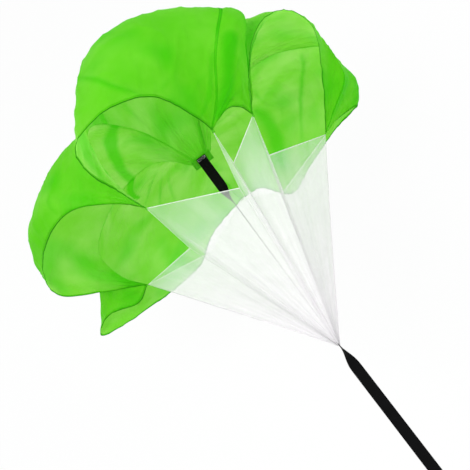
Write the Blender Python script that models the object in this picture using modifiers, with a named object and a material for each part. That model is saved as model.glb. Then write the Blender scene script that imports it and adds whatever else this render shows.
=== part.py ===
"""Speed parachute: a six-lobed nylon canopy on a net cone, towed by webbing from a waist belt.

Frame: metres, +Z up. The origin is on the inner face of the belt's back, where it lies against
the wearer. +Y runs along the tow strap to the canopy's crown. +X is to the right of someone
who looks along the strap towards the canopy.
"""
from math import cos, pi, radians, sin

import bmesh
import bpy
from mathutils import Matrix, Vector

MM = 0.001

# Tow line, measured along +Y from the belt
TOW_LENGTH = 0.455              # strap from the swivel eye to the net's point
NET_LENGTH = 0.609              # net's point to the plane of the canopy's mouth
CROWN_SETBACK = 0.070           # crown patch behind the mouth, drawn in by the centre strap
LOBE_REACH = 0.580              # from the axis to the outer edge of a well filled lobe

# Cloth and webbing
CLOTH_THICKNESS = 0.6 * MM
NET_THICKNESS = 0.6 * MM
SEAM_INSET = 1.4 * MM           # from a seam's line to each gore's own edge
WEB_WIDTH = 30.0 * MM
WEB_THICKNESS = 2.2 * MM
CLEARANCE = 0.3 * MM            # between pieces that touch

# Crown patch and its sewn strap end
CROWN_RING_RADIUS = 24.0 * MM   # where the gores' points are sewn to the patch
PATCH_LAP = 8.0 * MM            # patch beyond that ring
PATCH_THICKNESS = 1.2 * MM
STRAP_SEW_LENGTH = 24.0 * MM    # strap laid flat on the patch
STRAP_BEND_RADIUS = 7.0 * MM

# Waist belt
BELT_WIDTH = 40.0 * MM
BELT_THICKNESS = 2.4 * MM
BELT_HALF_SPAN = 0.150          # across the hips, to the webbing's inner face
BELT_DEPTH = 0.220              # back to front, between inner faces
BELT_CORNER_RADIUS = 0.080

BELT_TAIL = 38.0 * MM           # spare webbing beyond the plug's bar
BELT_SEWN_TAIL = 24.0 * MM      # folded and sewn end at the socket's bar

# Side-release buckle at the belt's front, along X
BUCKLE_MARGIN = 4.0 * MM        # above and below the webbing
BUCKLE_THICKNESS = 12.0 * MM
BUCKLE_WALL = 2.2 * MM
BUCKLE_EDGE_RADIUS = 1.2 * MM
SOCKET_LENGTH = 34.0 * MM
SOCKET_FLOOR = 3.0 * MM
PLUG_BASE_LENGTH = 8.0 * MM
PLUG_GAP = 0.6 * MM
CHEEK_WIDTH = 3.2 * MM          # end plates that carry each bar
BAR_RADIUS = 2.2 * MM
BAR_SETBACK = 6.0 * MM          # from each half's solid end to its bar
TONGUE_WIDTH = 9.0 * MM
TONGUE_LENGTH = 24.0 * MM
ARM_LENGTH = 26.0 * MM
ARM_WIDTH = 4.0 * MM
ARM_OFFSET = 14.0 * MM          # arm's middle from the buckle's middle
ARM_THICKNESS = 6.4 * MM
BARB_LENGTH = 11.0 * MM
BARB_HEIGHT = 7.0 * MM          # beyond the arm's outer edge
WINDOW_LENGTH = 15.0 * MM

# Sliding loop that holds the belt's spare webbing
GLIDE_LENGTH = 10.0 * MM
GLIDE_WALL = 2.2 * MM
GLIDE_PLAY = 0.5 * MM
GLIDE_PLACE = -58.0 * MM        # along X on the belt's front

# Tow ring, swivel hook and gate
RING_WIRE = 4.0 * MM
RING_HEIGHT = 34.0 * MM         # inside the ring, along its bar
RING_DEPTH = 20.0 * MM          # from the bar's centre to the bow's centre
KEEPER_WIDTH = 24.0 * MM
KEEPER_THICKNESS = 1.4 * MM
KEEPER_SEW_LENGTH = 18.0 * MM
HOOK_WIRE = 5.0 * MM
HOOK_HALF_WIDTH = 10.5 * MM     # spine and gate from the hook's middle line
HOOK_LENGTH = 42.0 * MM         # bow's wire centre to the swivel's shoulder
HOOK_SHOULDER_RADIUS = 6.5 * MM
HOOK_SHOULDER_LENGTH = 7.0 * MM
NOSE_LENGTH = 3.0 * MM          # straight wire beyond the bow on the gate's side
GATE_WIRE = 3.6 * MM
GATE_LAP = 2.5 * MM             # gate's end lies inside the nose over this length
GATE_LEAN_SHARE = 0.3           # of that length, by which it stands further in
GATE_BLOCK_LENGTH = 7.5 * MM    # from the pivot
GATE_BLOCK_WIDTH = 6.0 * MM
GATE_BLOCK_HEIGHT = 9.4 * MM
GATE_SLOT_RADIUS = 3.4 * MM
GATE_PIN_RADIUS = 1.1 * MM
SWIVEL_PIN_RADIUS = 2.5 * MM
SWIVEL_BORE_DEPTH = 6.0 * MM    # pin's end in the hook's shoulder
SWIVEL_HEAD_RADIUS = 4.6 * MM
SWIVEL_HEAD_LENGTH = 2.4 * MM
SWIVEL_CUP_LENGTH = 3.0 * MM
EYE_WIRE = 4.0 * MM
EYE_DEPTH = 15.0 * MM           # inside the eye, along Y
EYE_SIDE_PLAY = 1.5 * MM        # webbing edge to the eye's inner side
LOOP_TAIL = 45.0 * MM           # strap folded back and sewn beyond the eye

# Net and strap lie
NET_INSET = 0.9 * MM            # from a fold's line to each panel's own edge
TIP_DROP = 0.8 * MM             # net point ahead of the hem that it is sewn to
RING_ROUND_SHARE = 1 / 3        # squareness of the gathered ring
CENTRE_FLAT_SHARE = 0.12        # of the centre strap, which lies level below the crown
CENTRE_TURN_SHARE = 0.12        # of the centre strap, over which it turns upright
TOW_TURN_SHARE = 0.12           # of the tow strap, over which it lies level again
LOOP_LEAD_SHARE = 2.0           # of the wrap radius, where the two layers part
WRAP_START = radians(50)
KEEPER_FOOT_SHARE = 1.7         # of its wrap radius, where the keeper lies down on the belt
RING_CORNER_SHARE = 0.2         # of the ring's depth

# Grid resolution of the soft surfaces
GORE_ACROSS = 16
GORE_ALONG = 15
NET_ACROSS = 6
NET_ALONG = 7
STRAP_STEPS = 4
TURN_STEPS = 16
BEND_STEPS = 5
WRAP_STEPS = 10
CORNER_STEPS = 12
ROUND_SEGMENTS = 24
WIRE_RESOLUTION = 3
WIRE_ARC_STEPS = 12
MERGE_DISTANCE = 0.01 * MM

# Hem points where the net is sewn: right, up and back as shares of the lobe reach
TIP_SHARES = {
    "left": (-0.34, 0.20, 0.0),
    "top": (0.13, 0.41, 0.0),
    "upper_right": (0.33, 0.30, 0.0),
    "right": (0.64, -0.37, 0.0),
    "bottom": (0.07, -0.38, 0.0),
    "lower_left": (-0.63, -0.54, 0.0),
}
TIP_ORDER = ("left", "top", "upper_right", "right", "bottom", "lower_left")

# Each gore's free hem between its two net points, in the same shares
HEM_SHARES = {
    "left": ((-0.38, 0.42, 0.03), (-0.42, 0.68, 0.05), (-0.38, 0.88, 0.07),
             (-0.20, 0.93, 0.08), (-0.01, 0.80, 0.09), (0.10, 0.54, 0.03)),
    "top": ((0.19, 0.43, 0.02), (0.25, 0.43, 0.03), (0.30, 0.37, 0.03)),
    "upper_right": ((0.47, 0.42, 0.18), (0.60, 0.50, 0.25), (0.75, 0.40, 0.29),
                    (0.85, 0.16, 0.26), (0.77, -0.14, 0.15)),
    "right": ((0.72, -0.42, 0.05), (0.91, -0.54, 0.10), (0.76, -0.68, 0.13),
              (0.52, -0.71, 0.06), (0.33, -0.70, -0.02), (0.20, -0.54, 0.05)),
    "bottom": ((-0.18, -0.60, 0.03), (-0.35, -0.76, -0.01), (-0.78, -0.74, -0.03),
               (-1.04, -0.74, 0.01), (-0.94, -0.70, 0.06), (-0.74, -0.65, -0.01)),
    "lower_left": ((-0.86, -0.52, 0.12), (-1.04, -0.38, 0.19), (-0.93, 0.02, 0.21),
                   (-0.63, 0.34, 0.15), (-0.44, 0.30, 0.06)),
}

# Seams from each net point back over the canopy to the crown
SEAM_SHARES = {
    "left": ((-0.38, 0.32, 0.10), (-0.37, 0.46, 0.30), (-0.30, 0.38, 0.43),
             (-0.14, 0.18, 0.37)),
    "top": ((0.23, 0.50, 0.06), (0.33, 0.60, 0.17), (0.42, 0.62, 0.27),
            (0.50, 0.58, 0.38), (0.42, 0.38, 0.50), (0.18, 0.15, 0.40)),
    "upper_right": ((0.37, 0.33, 0.07), (0.45, 0.39, 0.21), (0.53, 0.42, 0.35),
                    (0.42, 0.30, 0.44), (0.18, 0.10, 0.36)),
    "right": ((0.75, -0.33, 0.06), (0.90, -0.25, 0.15), (0.89, -0.14, 0.30),
              (0.82, -0.13, 0.36), (0.62, -0.09, 0.43), (0.22, -0.04, 0.34)),
    "bottom": ((0.06, -0.52, 0.10), (0.05, -0.58, 0.28), (0.03, -0.40, 0.40),
               (0.01, -0.16, 0.34)),
    "lower_left": ((-0.72, -0.50, 0.12), (-0.74, -0.45, 0.30), (-0.50, -0.32, 0.42),
                   (-0.20, -0.13, 0.36)),
}

# Crest of each gore, from the middle of its hem to the crown
CREST_SHARES = {
    "left": ((-0.17, 0.90, 0.30), (-0.04, 0.78, 0.50), (0.03, 0.54, 0.60),
             (0.04, 0.27, 0.48)),
    "top": ((0.36, 0.44, 0.08), (0.46, 0.53, 0.19), (0.56, 0.52, 0.35),
            (0.42, 0.34, 0.48), (0.18, 0.12, 0.39)),
    "upper_right": ((0.81, 0.22, 0.36), (0.78, 0.19, 0.42), (0.58, 0.11, 0.48),
                    (0.32, 0.05, 0.42)),
    "right": ((0.74, -0.72, 0.20), (0.72, -0.58, 0.34), (0.48, -0.38, 0.43),
              (0.18, -0.16, 0.34)),
    "bottom": ((-0.78, -0.84, 0.10), (-0.66, -0.80, 0.28), (-0.40, -0.56, 0.42),
               (-0.13, -0.22, 0.37)),
    "lower_left": ((-0.93, 0.08, 0.31), (-0.78, 0.10, 0.43), (-0.52, 0.06, 0.50),
                   (-0.24, 0.02, 0.41)),
}

# Inner corner of the net between each net point and the next
NOTCH_SHARES = {
    "left": (0.07, 0.30, -0.26),
    "top": (0.12, 0.30, -0.14),
    "upper_right": (0.28, 0.20, -0.17),
    "right": (0.26, -0.30, -0.15),
    "bottom": (-0.22, -0.36, -0.15),
    "lower_left": (-0.30, -0.15, -0.15),
}
CROWN_AXIS_SHARE = (0.02, 0.02)

# How each gore's surface runs between its lines
HEM_FADE_SHARE = 0.6            # of the way to the crown, over which a hem's own shape fades
EVEN_TURN_SHARE = 0.6           # of the way across that is even, the rest eases at the seams

# Places along the tow line that follow from the sizes above
BAR_Y = BELT_THICKNESS + CLEARANCE + RING_WIRE / 2
RING_BOW_Y = BAR_Y + RING_DEPTH
HOOK_BOW_Y = RING_BOW_Y - RING_WIRE / 2 - CLEARANCE - HOOK_WIRE / 2
SHOULDER_Y = HOOK_BOW_Y + HOOK_LENGTH
GATE_PIVOT_Y = SHOULDER_Y - HOOK_WIRE / 2 - HOOK_HALF_WIDTH
NOSE_Y = HOOK_BOW_Y + HOOK_HALF_WIDTH + NOSE_LENGTH
CUP_Y = SHOULDER_Y + HOOK_SHOULDER_LENGTH + CLEARANCE
EYE_NEAR_Y = CUP_Y + SWIVEL_CUP_LENGTH + EYE_WIRE / 2
EYE_FAR_Y = EYE_NEAR_Y + EYE_DEPTH + EYE_WIRE
APEX_Y = EYE_FAR_Y + TOW_LENGTH
MOUTH_Y = APEX_Y + NET_LENGTH
CROWN_Y = MOUTH_Y + CROWN_SETBACK

# Buckle's places along the belt's front
LAYER_PITCH = BELT_THICKNESS + CLEARANCE
FRONT_Y = -BELT_DEPTH - BELT_THICKNESS / 2
BUCKLE_Y = FRONT_Y - LAYER_PITCH / 2
BUCKLE_HALF_HEIGHT = BELT_WIDTH / 2 + BUCKLE_MARGIN
MOUTH_X = -SOCKET_LENGTH / 2
SOCKET_BAR_X = SOCKET_LENGTH / 2 + BAR_SETBACK
PLUG_FACE_X = MOUTH_X - PLUG_GAP
PLUG_BAR_X = PLUG_FACE_X - PLUG_BASE_LENGTH - BAR_SETBACK


def clear_scene():
    """Remove whatever the file holds."""
    for obj in list(bpy.data.objects):
        bpy.data.objects.remove(obj)


def new_collection(name):
    collection = bpy.data.collections.new(name)
    bpy.context.scene.collection.children.link(collection)
    return collection


def make_material(name, color, roughness, metallic=0.0):
    """Principled material with a plain colour."""
    material = bpy.data.materials.new(name)
    material.use_nodes = True
    shader = material.node_tree.nodes["Principled BSDF"]
    shader.inputs["Base Color"].default_value = (*color, 1.0)
    shader.inputs["Roughness"].default_value = roughness
    shader.inputs["Metallic"].default_value = metallic
    return material


def spline_point(points, share):
    """Centripetal Catmull-Rom curve through the points, at a share of its chord length."""
    knots = [0.0]
    for start, end in zip(points, points[1:]):
        knots.append(knots[-1] + (end - start).length ** 0.5)
    place = share * knots[-1]
    last = len(points) - 2
    i = 0
    while i < last and place > knots[i + 1]:
        i += 1
    p1 = points[i]
    p2 = points[i + 1]
    p0 = points[i - 1] if i > 0 else 2 * p1 - p2
    p3 = points[i + 2] if i < last else 2 * p2 - p1
    t1 = knots[i]
    t2 = knots[i + 1]
    t0 = knots[i - 1] if i > 0 else 2 * t1 - t2
    t3 = knots[i + 2] if i < last else 2 * t2 - t1
    span = t2 - t1
    slope1 = span * ((p1 - p0) / (t1 - t0) - (p2 - p0) / (t2 - t0) + (p2 - p1) / span)
    slope2 = span * ((p2 - p1) / span - (p3 - p1) / (t3 - t1) + (p3 - p2) / (t3 - t2))
    x = (place - t1) / span
    return (p1 * (2 * x ** 3 - 3 * x ** 2 + 1) + slope1 * (x ** 3 - 2 * x ** 2 + x)
            + p2 * (3 * x ** 2 - 2 * x ** 3) + slope2 * (x ** 3 - x ** 2))


def canopy_place(shares):
    """A point given as right, up and back shares of the lobe reach, from the mouth's centre."""
    right, up, back = shares
    return Vector((right * LOBE_REACH, MOUTH_Y + back * LOBE_REACH, up * LOBE_REACH))


def crown_centre():
    right, up = CROWN_AXIS_SHARE
    return Vector((right * LOBE_REACH, CROWN_Y, up * LOBE_REACH))


def crown_edge(shares):
    """Where a line that comes in by way of these shares meets the crown ring."""
    centre = crown_centre()
    outward = canopy_place(shares) - centre
    outward.y = 0.0
    return centre + outward.normalized() * CROWN_RING_RADIUS


def next_tip(name):
    place = TIP_ORDER.index(name)
    return TIP_ORDER[(place + 1) % len(TIP_ORDER)]


def seam_line(name):
    points = [canopy_place(TIP_SHARES[name])]
    points += [canopy_place(shares) for shares in SEAM_SHARES[name]]
    return points + [crown_edge(SEAM_SHARES[name][-1])]


def hem_line(name):
    points = [canopy_place(TIP_SHARES[name])]
    points += [canopy_place(shares) for shares in HEM_SHARES[name]]
    return points + [canopy_place(TIP_SHARES[next_tip(name)])]


def gore_point(name, across, along):
    """Point of a gore: across runs from its seam to the next, along from hem to crown."""
    first = seam_line(name)
    second = seam_line(next_tip(name))
    hem = hem_line(name)
    hem_middle = spline_point(hem, 0.5)
    crest = [hem_middle] + [canopy_place(shares) for shares in CREST_SHARES[name]]
    crest.append(crown_edge(CREST_SHARES[name][-1]))
    eased = (1 - cos(pi * across)) / 2
    turn = EVEN_TURN_SHARE * across + (1 - EVEN_TURN_SHARE) * eased
    swell = sin(pi * across)
    left = spline_point(first, along)
    right = spline_point(second, along)
    point = left.lerp(right, turn) + swell * (spline_point(crest, along) - (left + right) / 2)
    chord = first[0].lerp(second[0], turn) + swell * (hem_middle - (first[0] + second[0]) / 2)
    fade = max(0.0, 1 - along / HEM_FADE_SHARE) ** 2
    return point + fade * (spline_point(hem, across) - chord)


def edge_share(name, along, side):
    """Share across a gore where its surface is one seam inset from the seam's line."""
    seam = gore_point(name, side, along)
    low = 0.0
    high = 0.25
    for _ in range(24):
        middle = (low + high) / 2
        across = middle if side == 0 else 1 - middle
        if (gore_point(name, across, along) - seam).length < SEAM_INSET:
            low = middle
        else:
            high = middle
    return high


def grid_object(name, rows, thickness, material, collection, offset=0.0):
    """Open surface through rows of points, made a thin solid with Solidify."""
    mesh = bpy.data.meshes.new(name)
    bm = bmesh.new()
    verts = [[bm.verts.new(point) for point in row] for row in rows]
    for row, above in zip(verts, verts[1:]):
        for a, b, c, d in zip(row, row[1:], above[1:], above):
            bm.faces.new((a, b, c, d))
    bmesh.ops.triangulate(bm, faces=bm.faces[:])
    bm.to_mesh(mesh)
    bm.free()
    mesh.shade_smooth()
    mesh.materials.append(material)
    obj = bpy.data.objects.new(name, mesh)
    collection.objects.link(obj)
    solidify = obj.modifiers.new("thickness", "SOLIDIFY")
    solidify.thickness = thickness
    solidify.offset = offset
    solidify.use_even_offset = False
    return obj


def make_gore(name, material, collection):
    """One lobe of the canopy, cut between two seams."""
    rows = []
    for i in range(GORE_ALONG + 1):
        along = i / GORE_ALONG
        start = edge_share(name, along, 0)
        end = 1 - edge_share(name, along, 1)
        rows.append([gore_point(name, start + (end - start) * j / GORE_ACROSS, along)
                     for j in range(GORE_ACROSS + 1)])
    return grid_object("gore_" + name, rows, CLOTH_THICKNESS, material, collection)


def ring_place(turn):
    """Point of the rounded ring in which the net is gathered round the strap at its point."""
    half_up = WEB_WIDTH / 2 + NET_THICKNESS + 2 * CLEARANCE
    half_across = WEB_THICKNESS / 2 + NET_THICKNESS + 2 * CLEARANCE
    across = sin(turn)
    up = cos(turn)
    return Vector((half_across * abs(across) ** RING_ROUND_SHARE * (1 if across > 0 else -1),
                   APEX_Y,
                   half_up * abs(up) ** RING_ROUND_SHARE * (1 if up > 0 else -1)))


def net_point(name, across, along):
    """Point of a net panel: across runs from one fold (-1) by the tip (0) to the other (1)."""
    place = TIP_ORDER.index(name)
    side = TIP_ORDER[place - 1] if across < 0 else name
    sector = 2 * pi / len(TIP_ORDER)
    tip = canopy_place(TIP_SHARES[name]) - Vector((0, TIP_DROP, 0))
    notch = canopy_place(NOTCH_SHARES[side])
    start = ring_place((place - 1 + across / 2) * sector)
    end = tip.lerp(notch, abs(across))
    return start.lerp(end, along)


def make_net_panel(name, material, collection):
    """One kite of net, from its point on the hem to the gathered point at the strap."""
    rows = []
    for i in range(NET_ALONG + 1):
        along = i / NET_ALONG
        low = net_point(name, -1, along)
        middle = net_point(name, 0, along)
        high = net_point(name, 1, along)
        start = NET_INSET / max((middle - low).length, NET_INSET * 2)
        end = NET_INSET / max((high - middle).length, NET_INSET * 2)
        row = []
        for j in range(NET_ACROSS + 1):
            across = -1 + start + (2 - start - end) * j / NET_ACROSS
            row.append(net_point(name, across, along))
        rows.append(row)
    return grid_object("net_" + name, rows, NET_THICKNESS, material, collection)


def strip_object(name, path, widths, thickness, material, collection):
    """Flat webbing: a path with the direction and size of its width at each point."""
    rows = [[point - width / 2, point + width / 2] for point, width in zip(path, widths)]
    return grid_object(name, rows, thickness, material, collection)


def turned_width(turn):
    """Width across the webbing, turned about the tow line from level (0) to upright (1)."""
    angle = turn * pi / 2
    return Vector((cos(angle), 0, sin(angle))) * WEB_WIDTH


def smooth_step(x):
    x = min(1.0, max(0.0, x))
    return x * x * (3 - 2 * x)


def strap_shares(turn_share):
    """Shares of a strap's length: close together over its turn, then wide apart."""
    turning = [turn_share * i / TURN_STEPS for i in range(TURN_STEPS)]
    rest = [turn_share + (1 - turn_share) * i / STRAP_STEPS for i in range(STRAP_STEPS + 1)]
    return turning + rest


def make_centre_strap(material, collection):
    """Webbing from its sewn end on the crown patch to the net's point, turned on the way."""
    crown = crown_centre()
    face = crown.y - PATCH_THICKNESS - CLOTH_THICKNESS - 2 * CLEARANCE - WEB_THICKNESS / 2
    path = [Vector((crown.x, face, crown.z + STRAP_SEW_LENGTH)),
            Vector((crown.x, face, crown.z + STRAP_BEND_RADIUS))]
    for i in range(1, BEND_STEPS + 1):
        angle = i / BEND_STEPS * pi / 2
        path.append(Vector((crown.x, face - STRAP_BEND_RADIUS * (1 - cos(angle)),
                            crown.z + STRAP_BEND_RADIUS * (1 - sin(angle)))))
    start = path[-1]
    end = Vector((0, APEX_Y + CLEARANCE / 2, 0))
    widths = [turned_width(0)] * len(path)
    for share in strap_shares(CENTRE_FLAT_SHARE + CENTRE_TURN_SHARE)[1:]:
        path.append(start.lerp(end, share))
        turn = (share - CENTRE_FLAT_SHARE) / CENTRE_TURN_SHARE
        widths.append(turned_width(smooth_step(turn)))
    return strip_object("centre_strap", path, widths, WEB_THICKNESS, material, collection)


def make_tow_strap(material, collection):
    """Webbing from the net's point, laid level again and looped round the swivel eye."""
    layer = (WEB_THICKNESS + CLEARANCE) / 2
    wrap = EYE_WIRE / 2 + CLEARANCE + WEB_THICKNESS / 2
    lead = wrap * LOOP_LEAD_SHARE
    start = Vector((0, APEX_Y - CLEARANCE / 2, 0))
    end = Vector((0, EYE_FAR_Y + LOOP_TAIL, layer))
    path = []
    widths = []
    for share in strap_shares(TOW_TURN_SHARE):
        path.append(start.lerp(end, share))
        widths.append(turned_width(1 - smooth_step(share / TOW_TURN_SHARE)))
    path.append(Vector((0, EYE_FAR_Y + lead * 2, layer)))
    for i in range(WRAP_STEPS + 1):
        angle = WRAP_START + (2 * pi - 2 * WRAP_START) * i / WRAP_STEPS
        path.append(Vector((0, EYE_FAR_Y + wrap * cos(angle), wrap * sin(angle))))
    path.append(Vector((0, EYE_FAR_Y + lead * 2, -layer)))
    path.append(Vector((0, EYE_FAR_Y + LOOP_TAIL, -layer)))
    widths += [turned_width(0)] * (len(path) - len(widths))
    return strip_object("tow_strap", path, widths, WEB_THICKNESS, material, collection)


def belt_turn(bar_x, side):
    """Points of the webbing round a buckle half's bar, from the inner layer to the outer."""
    wrap = BAR_RADIUS + CLEARANCE + BELT_THICKNESS / 2
    points = [Vector((bar_x + side * wrap * LOOP_LEAD_SHARE * 2, FRONT_Y, 0))]
    for i in range(WRAP_STEPS + 1):
        angle = WRAP_START + (2 * pi - 2 * WRAP_START) * i / WRAP_STEPS
        points.append(Vector((bar_x + side * wrap * cos(angle),
                              BUCKLE_Y + wrap * sin(angle), 0)))
    points.append(Vector((bar_x + side * wrap * LOOP_LEAD_SHARE * 2, FRONT_Y - LAYER_PITCH, 0)))
    return points


def make_belt(material, collection):
    """Waist webbing: a rounded band whose two ends turn round the buckle's bars."""
    half = BELT_HALF_SPAN + BELT_THICKNESS / 2
    radius = BELT_CORNER_RADIUS
    back = BELT_THICKNESS / 2
    corners = [(half - radius, FRONT_Y + radius, -pi / 2), (half - radius, back - radius, 0.0),
               (radius - half, back - radius, pi / 2), (radius - half, FRONT_Y + radius, pi)]
    path = [Vector((SOCKET_BAR_X + BELT_SEWN_TAIL, FRONT_Y - LAYER_PITCH, 0))]
    path += reversed(belt_turn(SOCKET_BAR_X, 1))
    for x, y, first in corners:
        for i in range(CORNER_STEPS + 1):
            angle = first + pi / 2 * i / CORNER_STEPS
            path.append(Vector((x + radius * cos(angle), y + radius * sin(angle), 0)))
    path += belt_turn(PLUG_BAR_X, -1)
    path.append(Vector((PLUG_BAR_X - BELT_TAIL, FRONT_Y - LAYER_PITCH, 0)))
    widths = [Vector((0, 0, BELT_WIDTH))] * len(path)
    return strip_object("belt_webbing", path, widths, BELT_THICKNESS, material, collection)


def make_ring_keeper(material, collection):
    """Short webbing sewn to the belt on both sides of the tow ring's bar."""
    flat = BELT_THICKNESS + CLEARANCE + KEEPER_THICKNESS / 2
    wrap = RING_WIRE / 2 + CLEARANCE + KEEPER_THICKNESS / 2
    foot = wrap * KEEPER_FOOT_SHARE
    path = [Vector((-foot - KEEPER_SEW_LENGTH, flat, 0)), Vector((-foot, flat, 0))]
    for i in range(WRAP_STEPS + 1):
        angle = pi - pi * i / WRAP_STEPS
        path.append(Vector((wrap * cos(angle), BAR_Y + wrap * sin(angle), 0)))
    path += [Vector((foot, flat, 0)), Vector((foot + KEEPER_SEW_LENGTH, flat, 0))]
    widths = [Vector((0, 0, KEEPER_WIDTH))] * len(path)
    return strip_object("ring_keeper", path, widths, KEEPER_THICKNESS, material, collection)


def mesh_object(name, bm, material, collection):
    mesh = bpy.data.meshes.new(name)
    bm.to_mesh(mesh)
    bm.free()
    mesh.materials.append(material)
    obj = bpy.data.objects.new(name, mesh)
    collection.objects.link(obj)
    return obj


def box(name, low, high, material, collection):
    """Block between two corners."""
    bm = bmesh.new()
    bmesh.ops.create_cube(bm, size=1.0)
    low = Vector(low)
    size = Vector(high) - low
    for vert in bm.verts:
        shares = vert.co + Vector((0.5, 0.5, 0.5))
        vert.co = low + Vector((shares.x * size.x, shares.y * size.y, shares.z * size.z))
    return mesh_object(name, bm, material, collection)


def rod(name, start, end, radius, material, collection):
    """Round bar between two points."""
    start = Vector(start)
    end = Vector(end)
    turn = (end - start).to_track_quat("Z", "Y").to_matrix().to_4x4()
    bm = bmesh.new()
    bmesh.ops.create_cone(bm, cap_ends=True, segments=ROUND_SEGMENTS, radius1=radius,
                          radius2=radius, depth=(end - start).length,
                          matrix=Matrix.Translation((start + end) / 2) @ turn)
    return mesh_object(name, bm, material, collection)


def wire(name, points, radius, closed, material, collection):
    """Round wire along points, as a mesh with welded caps."""
    curve = bpy.data.curves.new(name, "CURVE")
    curve.dimensions = "3D"
    curve.bevel_depth = radius
    curve.bevel_resolution = WIRE_RESOLUTION
    curve.use_fill_caps = True
    spline = curve.splines.new("POLY")
    spline.points.add(len(points) - 1)
    for place, point in zip(spline.points, points):
        place.co = (*point, 1.0)
    spline.use_cyclic_u = closed
    source = bpy.data.objects.new(name + "_line", curve)
    collection.objects.link(source)
    graph = bpy.context.evaluated_depsgraph_get()
    mesh = bpy.data.meshes.new_from_object(source.evaluated_get(graph))
    bpy.data.objects.remove(source)
    bm = bmesh.new()
    bm.from_mesh(mesh)
    bmesh.ops.remove_doubles(bm, verts=bm.verts[:], dist=MERGE_DISTANCE)
    bmesh.ops.recalc_face_normals(bm, faces=bm.faces[:])
    return mesh_object(name, bm, material, collection)


def combine(target, tool, operation):
    """Join a tool to a piece or cut it from the piece."""
    modifier = target.modifiers.new(tool.name, "BOOLEAN")
    modifier.operation = operation
    modifier.object = tool
    modifier.solver = "EXACT"
    tool.hide_render = True
    tool.display_type = "WIRE"


def soften_edges(obj, radius):
    bevel = obj.modifiers.new("edges", "BEVEL")
    bevel.width = radius
    bevel.segments = 2
    bevel.limit_method = "ANGLE"
    bevel.angle_limit = radians(40)


def set_origin(obj, place):
    """Move a piece's origin to a place on its joint's axis."""
    place = Vector(place)
    obj.data.transform(Matrix.Translation(-place))
    obj.location = place


def arc(centre_x, centre_y, radius, first, last):
    """Points of an arc in the level plane."""
    angles = [first + (last - first) * i / WIRE_ARC_STEPS for i in range(WIRE_ARC_STEPS + 1)]
    return [Vector((centre_x + radius * cos(a), centre_y + radius * sin(a), 0)) for a in angles]


def make_tow_ring(material, collection):
    """Wire D ring: an upright bar held by the keeper and a bow for the hook."""
    bar_half = RING_HEIGHT / 2 + RING_WIRE / 2
    corner = RING_DEPTH * RING_CORNER_SHARE
    points = []
    for i in range(WIRE_ARC_STEPS * 2 + 1):
        angle = pi * i / (WIRE_ARC_STEPS * 2)
        points.append(Vector((0, BAR_Y + corner + (RING_DEPTH - corner) * sin(angle),
                              bar_half * cos(angle))))
    for side in (-1, 1):
        for i in range(1, 4):
            angle = pi / 2 * (i if side < 0 else 4 - i) / 4
            points.append(Vector((0, BAR_Y + corner - corner * sin(angle),
                                  side * (bar_half - corner + corner * cos(angle)))))
        points.append(Vector((0, BAR_Y, side * (bar_half - corner))))
    points[-4:] = [points[-1]] + points[-4:-1]
    ring = wire("tow_ring", points, RING_WIRE / 2, True, material, collection)
    set_origin(ring, (0, BAR_Y, 0))
    return ring


def make_hook(material, collection, cutters):
    """Swivel hook's body: a bent wire link, open on one side, with a bored shoulder."""
    lower = HOOK_BOW_Y + HOOK_HALF_WIDTH
    points = [Vector((HOOK_HALF_WIDTH, NOSE_Y, 0))]
    points += arc(0, lower, HOOK_HALF_WIDTH, 0, -pi)
    points += arc(0, GATE_PIVOT_Y, HOOK_HALF_WIDTH, pi, 0)
    hook = wire("hook_body", points, HOOK_WIRE / 2, False, material, collection)
    shoulder = rod("hook_shoulder", (0, SHOULDER_Y - HOOK_WIRE, 0),
                   (0, SHOULDER_Y + HOOK_SHOULDER_LENGTH, 0), HOOK_SHOULDER_RADIUS,
                   material, cutters)
    end = rod("hook_arm_end", (HOOK_HALF_WIDTH, GATE_PIVOT_Y, -HOOK_WIRE / 2),
              (HOOK_HALF_WIDTH, GATE_PIVOT_Y, HOOK_WIRE / 2), HOOK_WIRE / 2, material, cutters)
    bore = rod("hook_bore", (0, SHOULDER_Y + HOOK_SHOULDER_LENGTH - SWIVEL_BORE_DEPTH, 0),
               (0, SHOULDER_Y + HOOK_SHOULDER_LENGTH + HOOK_WIRE, 0),
               SWIVEL_PIN_RADIUS + CLEARANCE, material, cutters)
    pin_hole = rod("gate_pin_hole", (HOOK_HALF_WIDTH, GATE_PIVOT_Y, -HOOK_WIRE),
                   (HOOK_HALF_WIDTH, GATE_PIVOT_Y, HOOK_WIRE), GATE_PIN_RADIUS + CLEARANCE,
                   material, cutters)
    combine(hook, shoulder, "UNION")
    combine(hook, end, "UNION")
    combine(hook, bore, "DIFFERENCE")
    combine(hook, pin_hole, "DIFFERENCE")
    set_origin(hook, (0, RING_BOW_Y, 0))
    return hook


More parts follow.
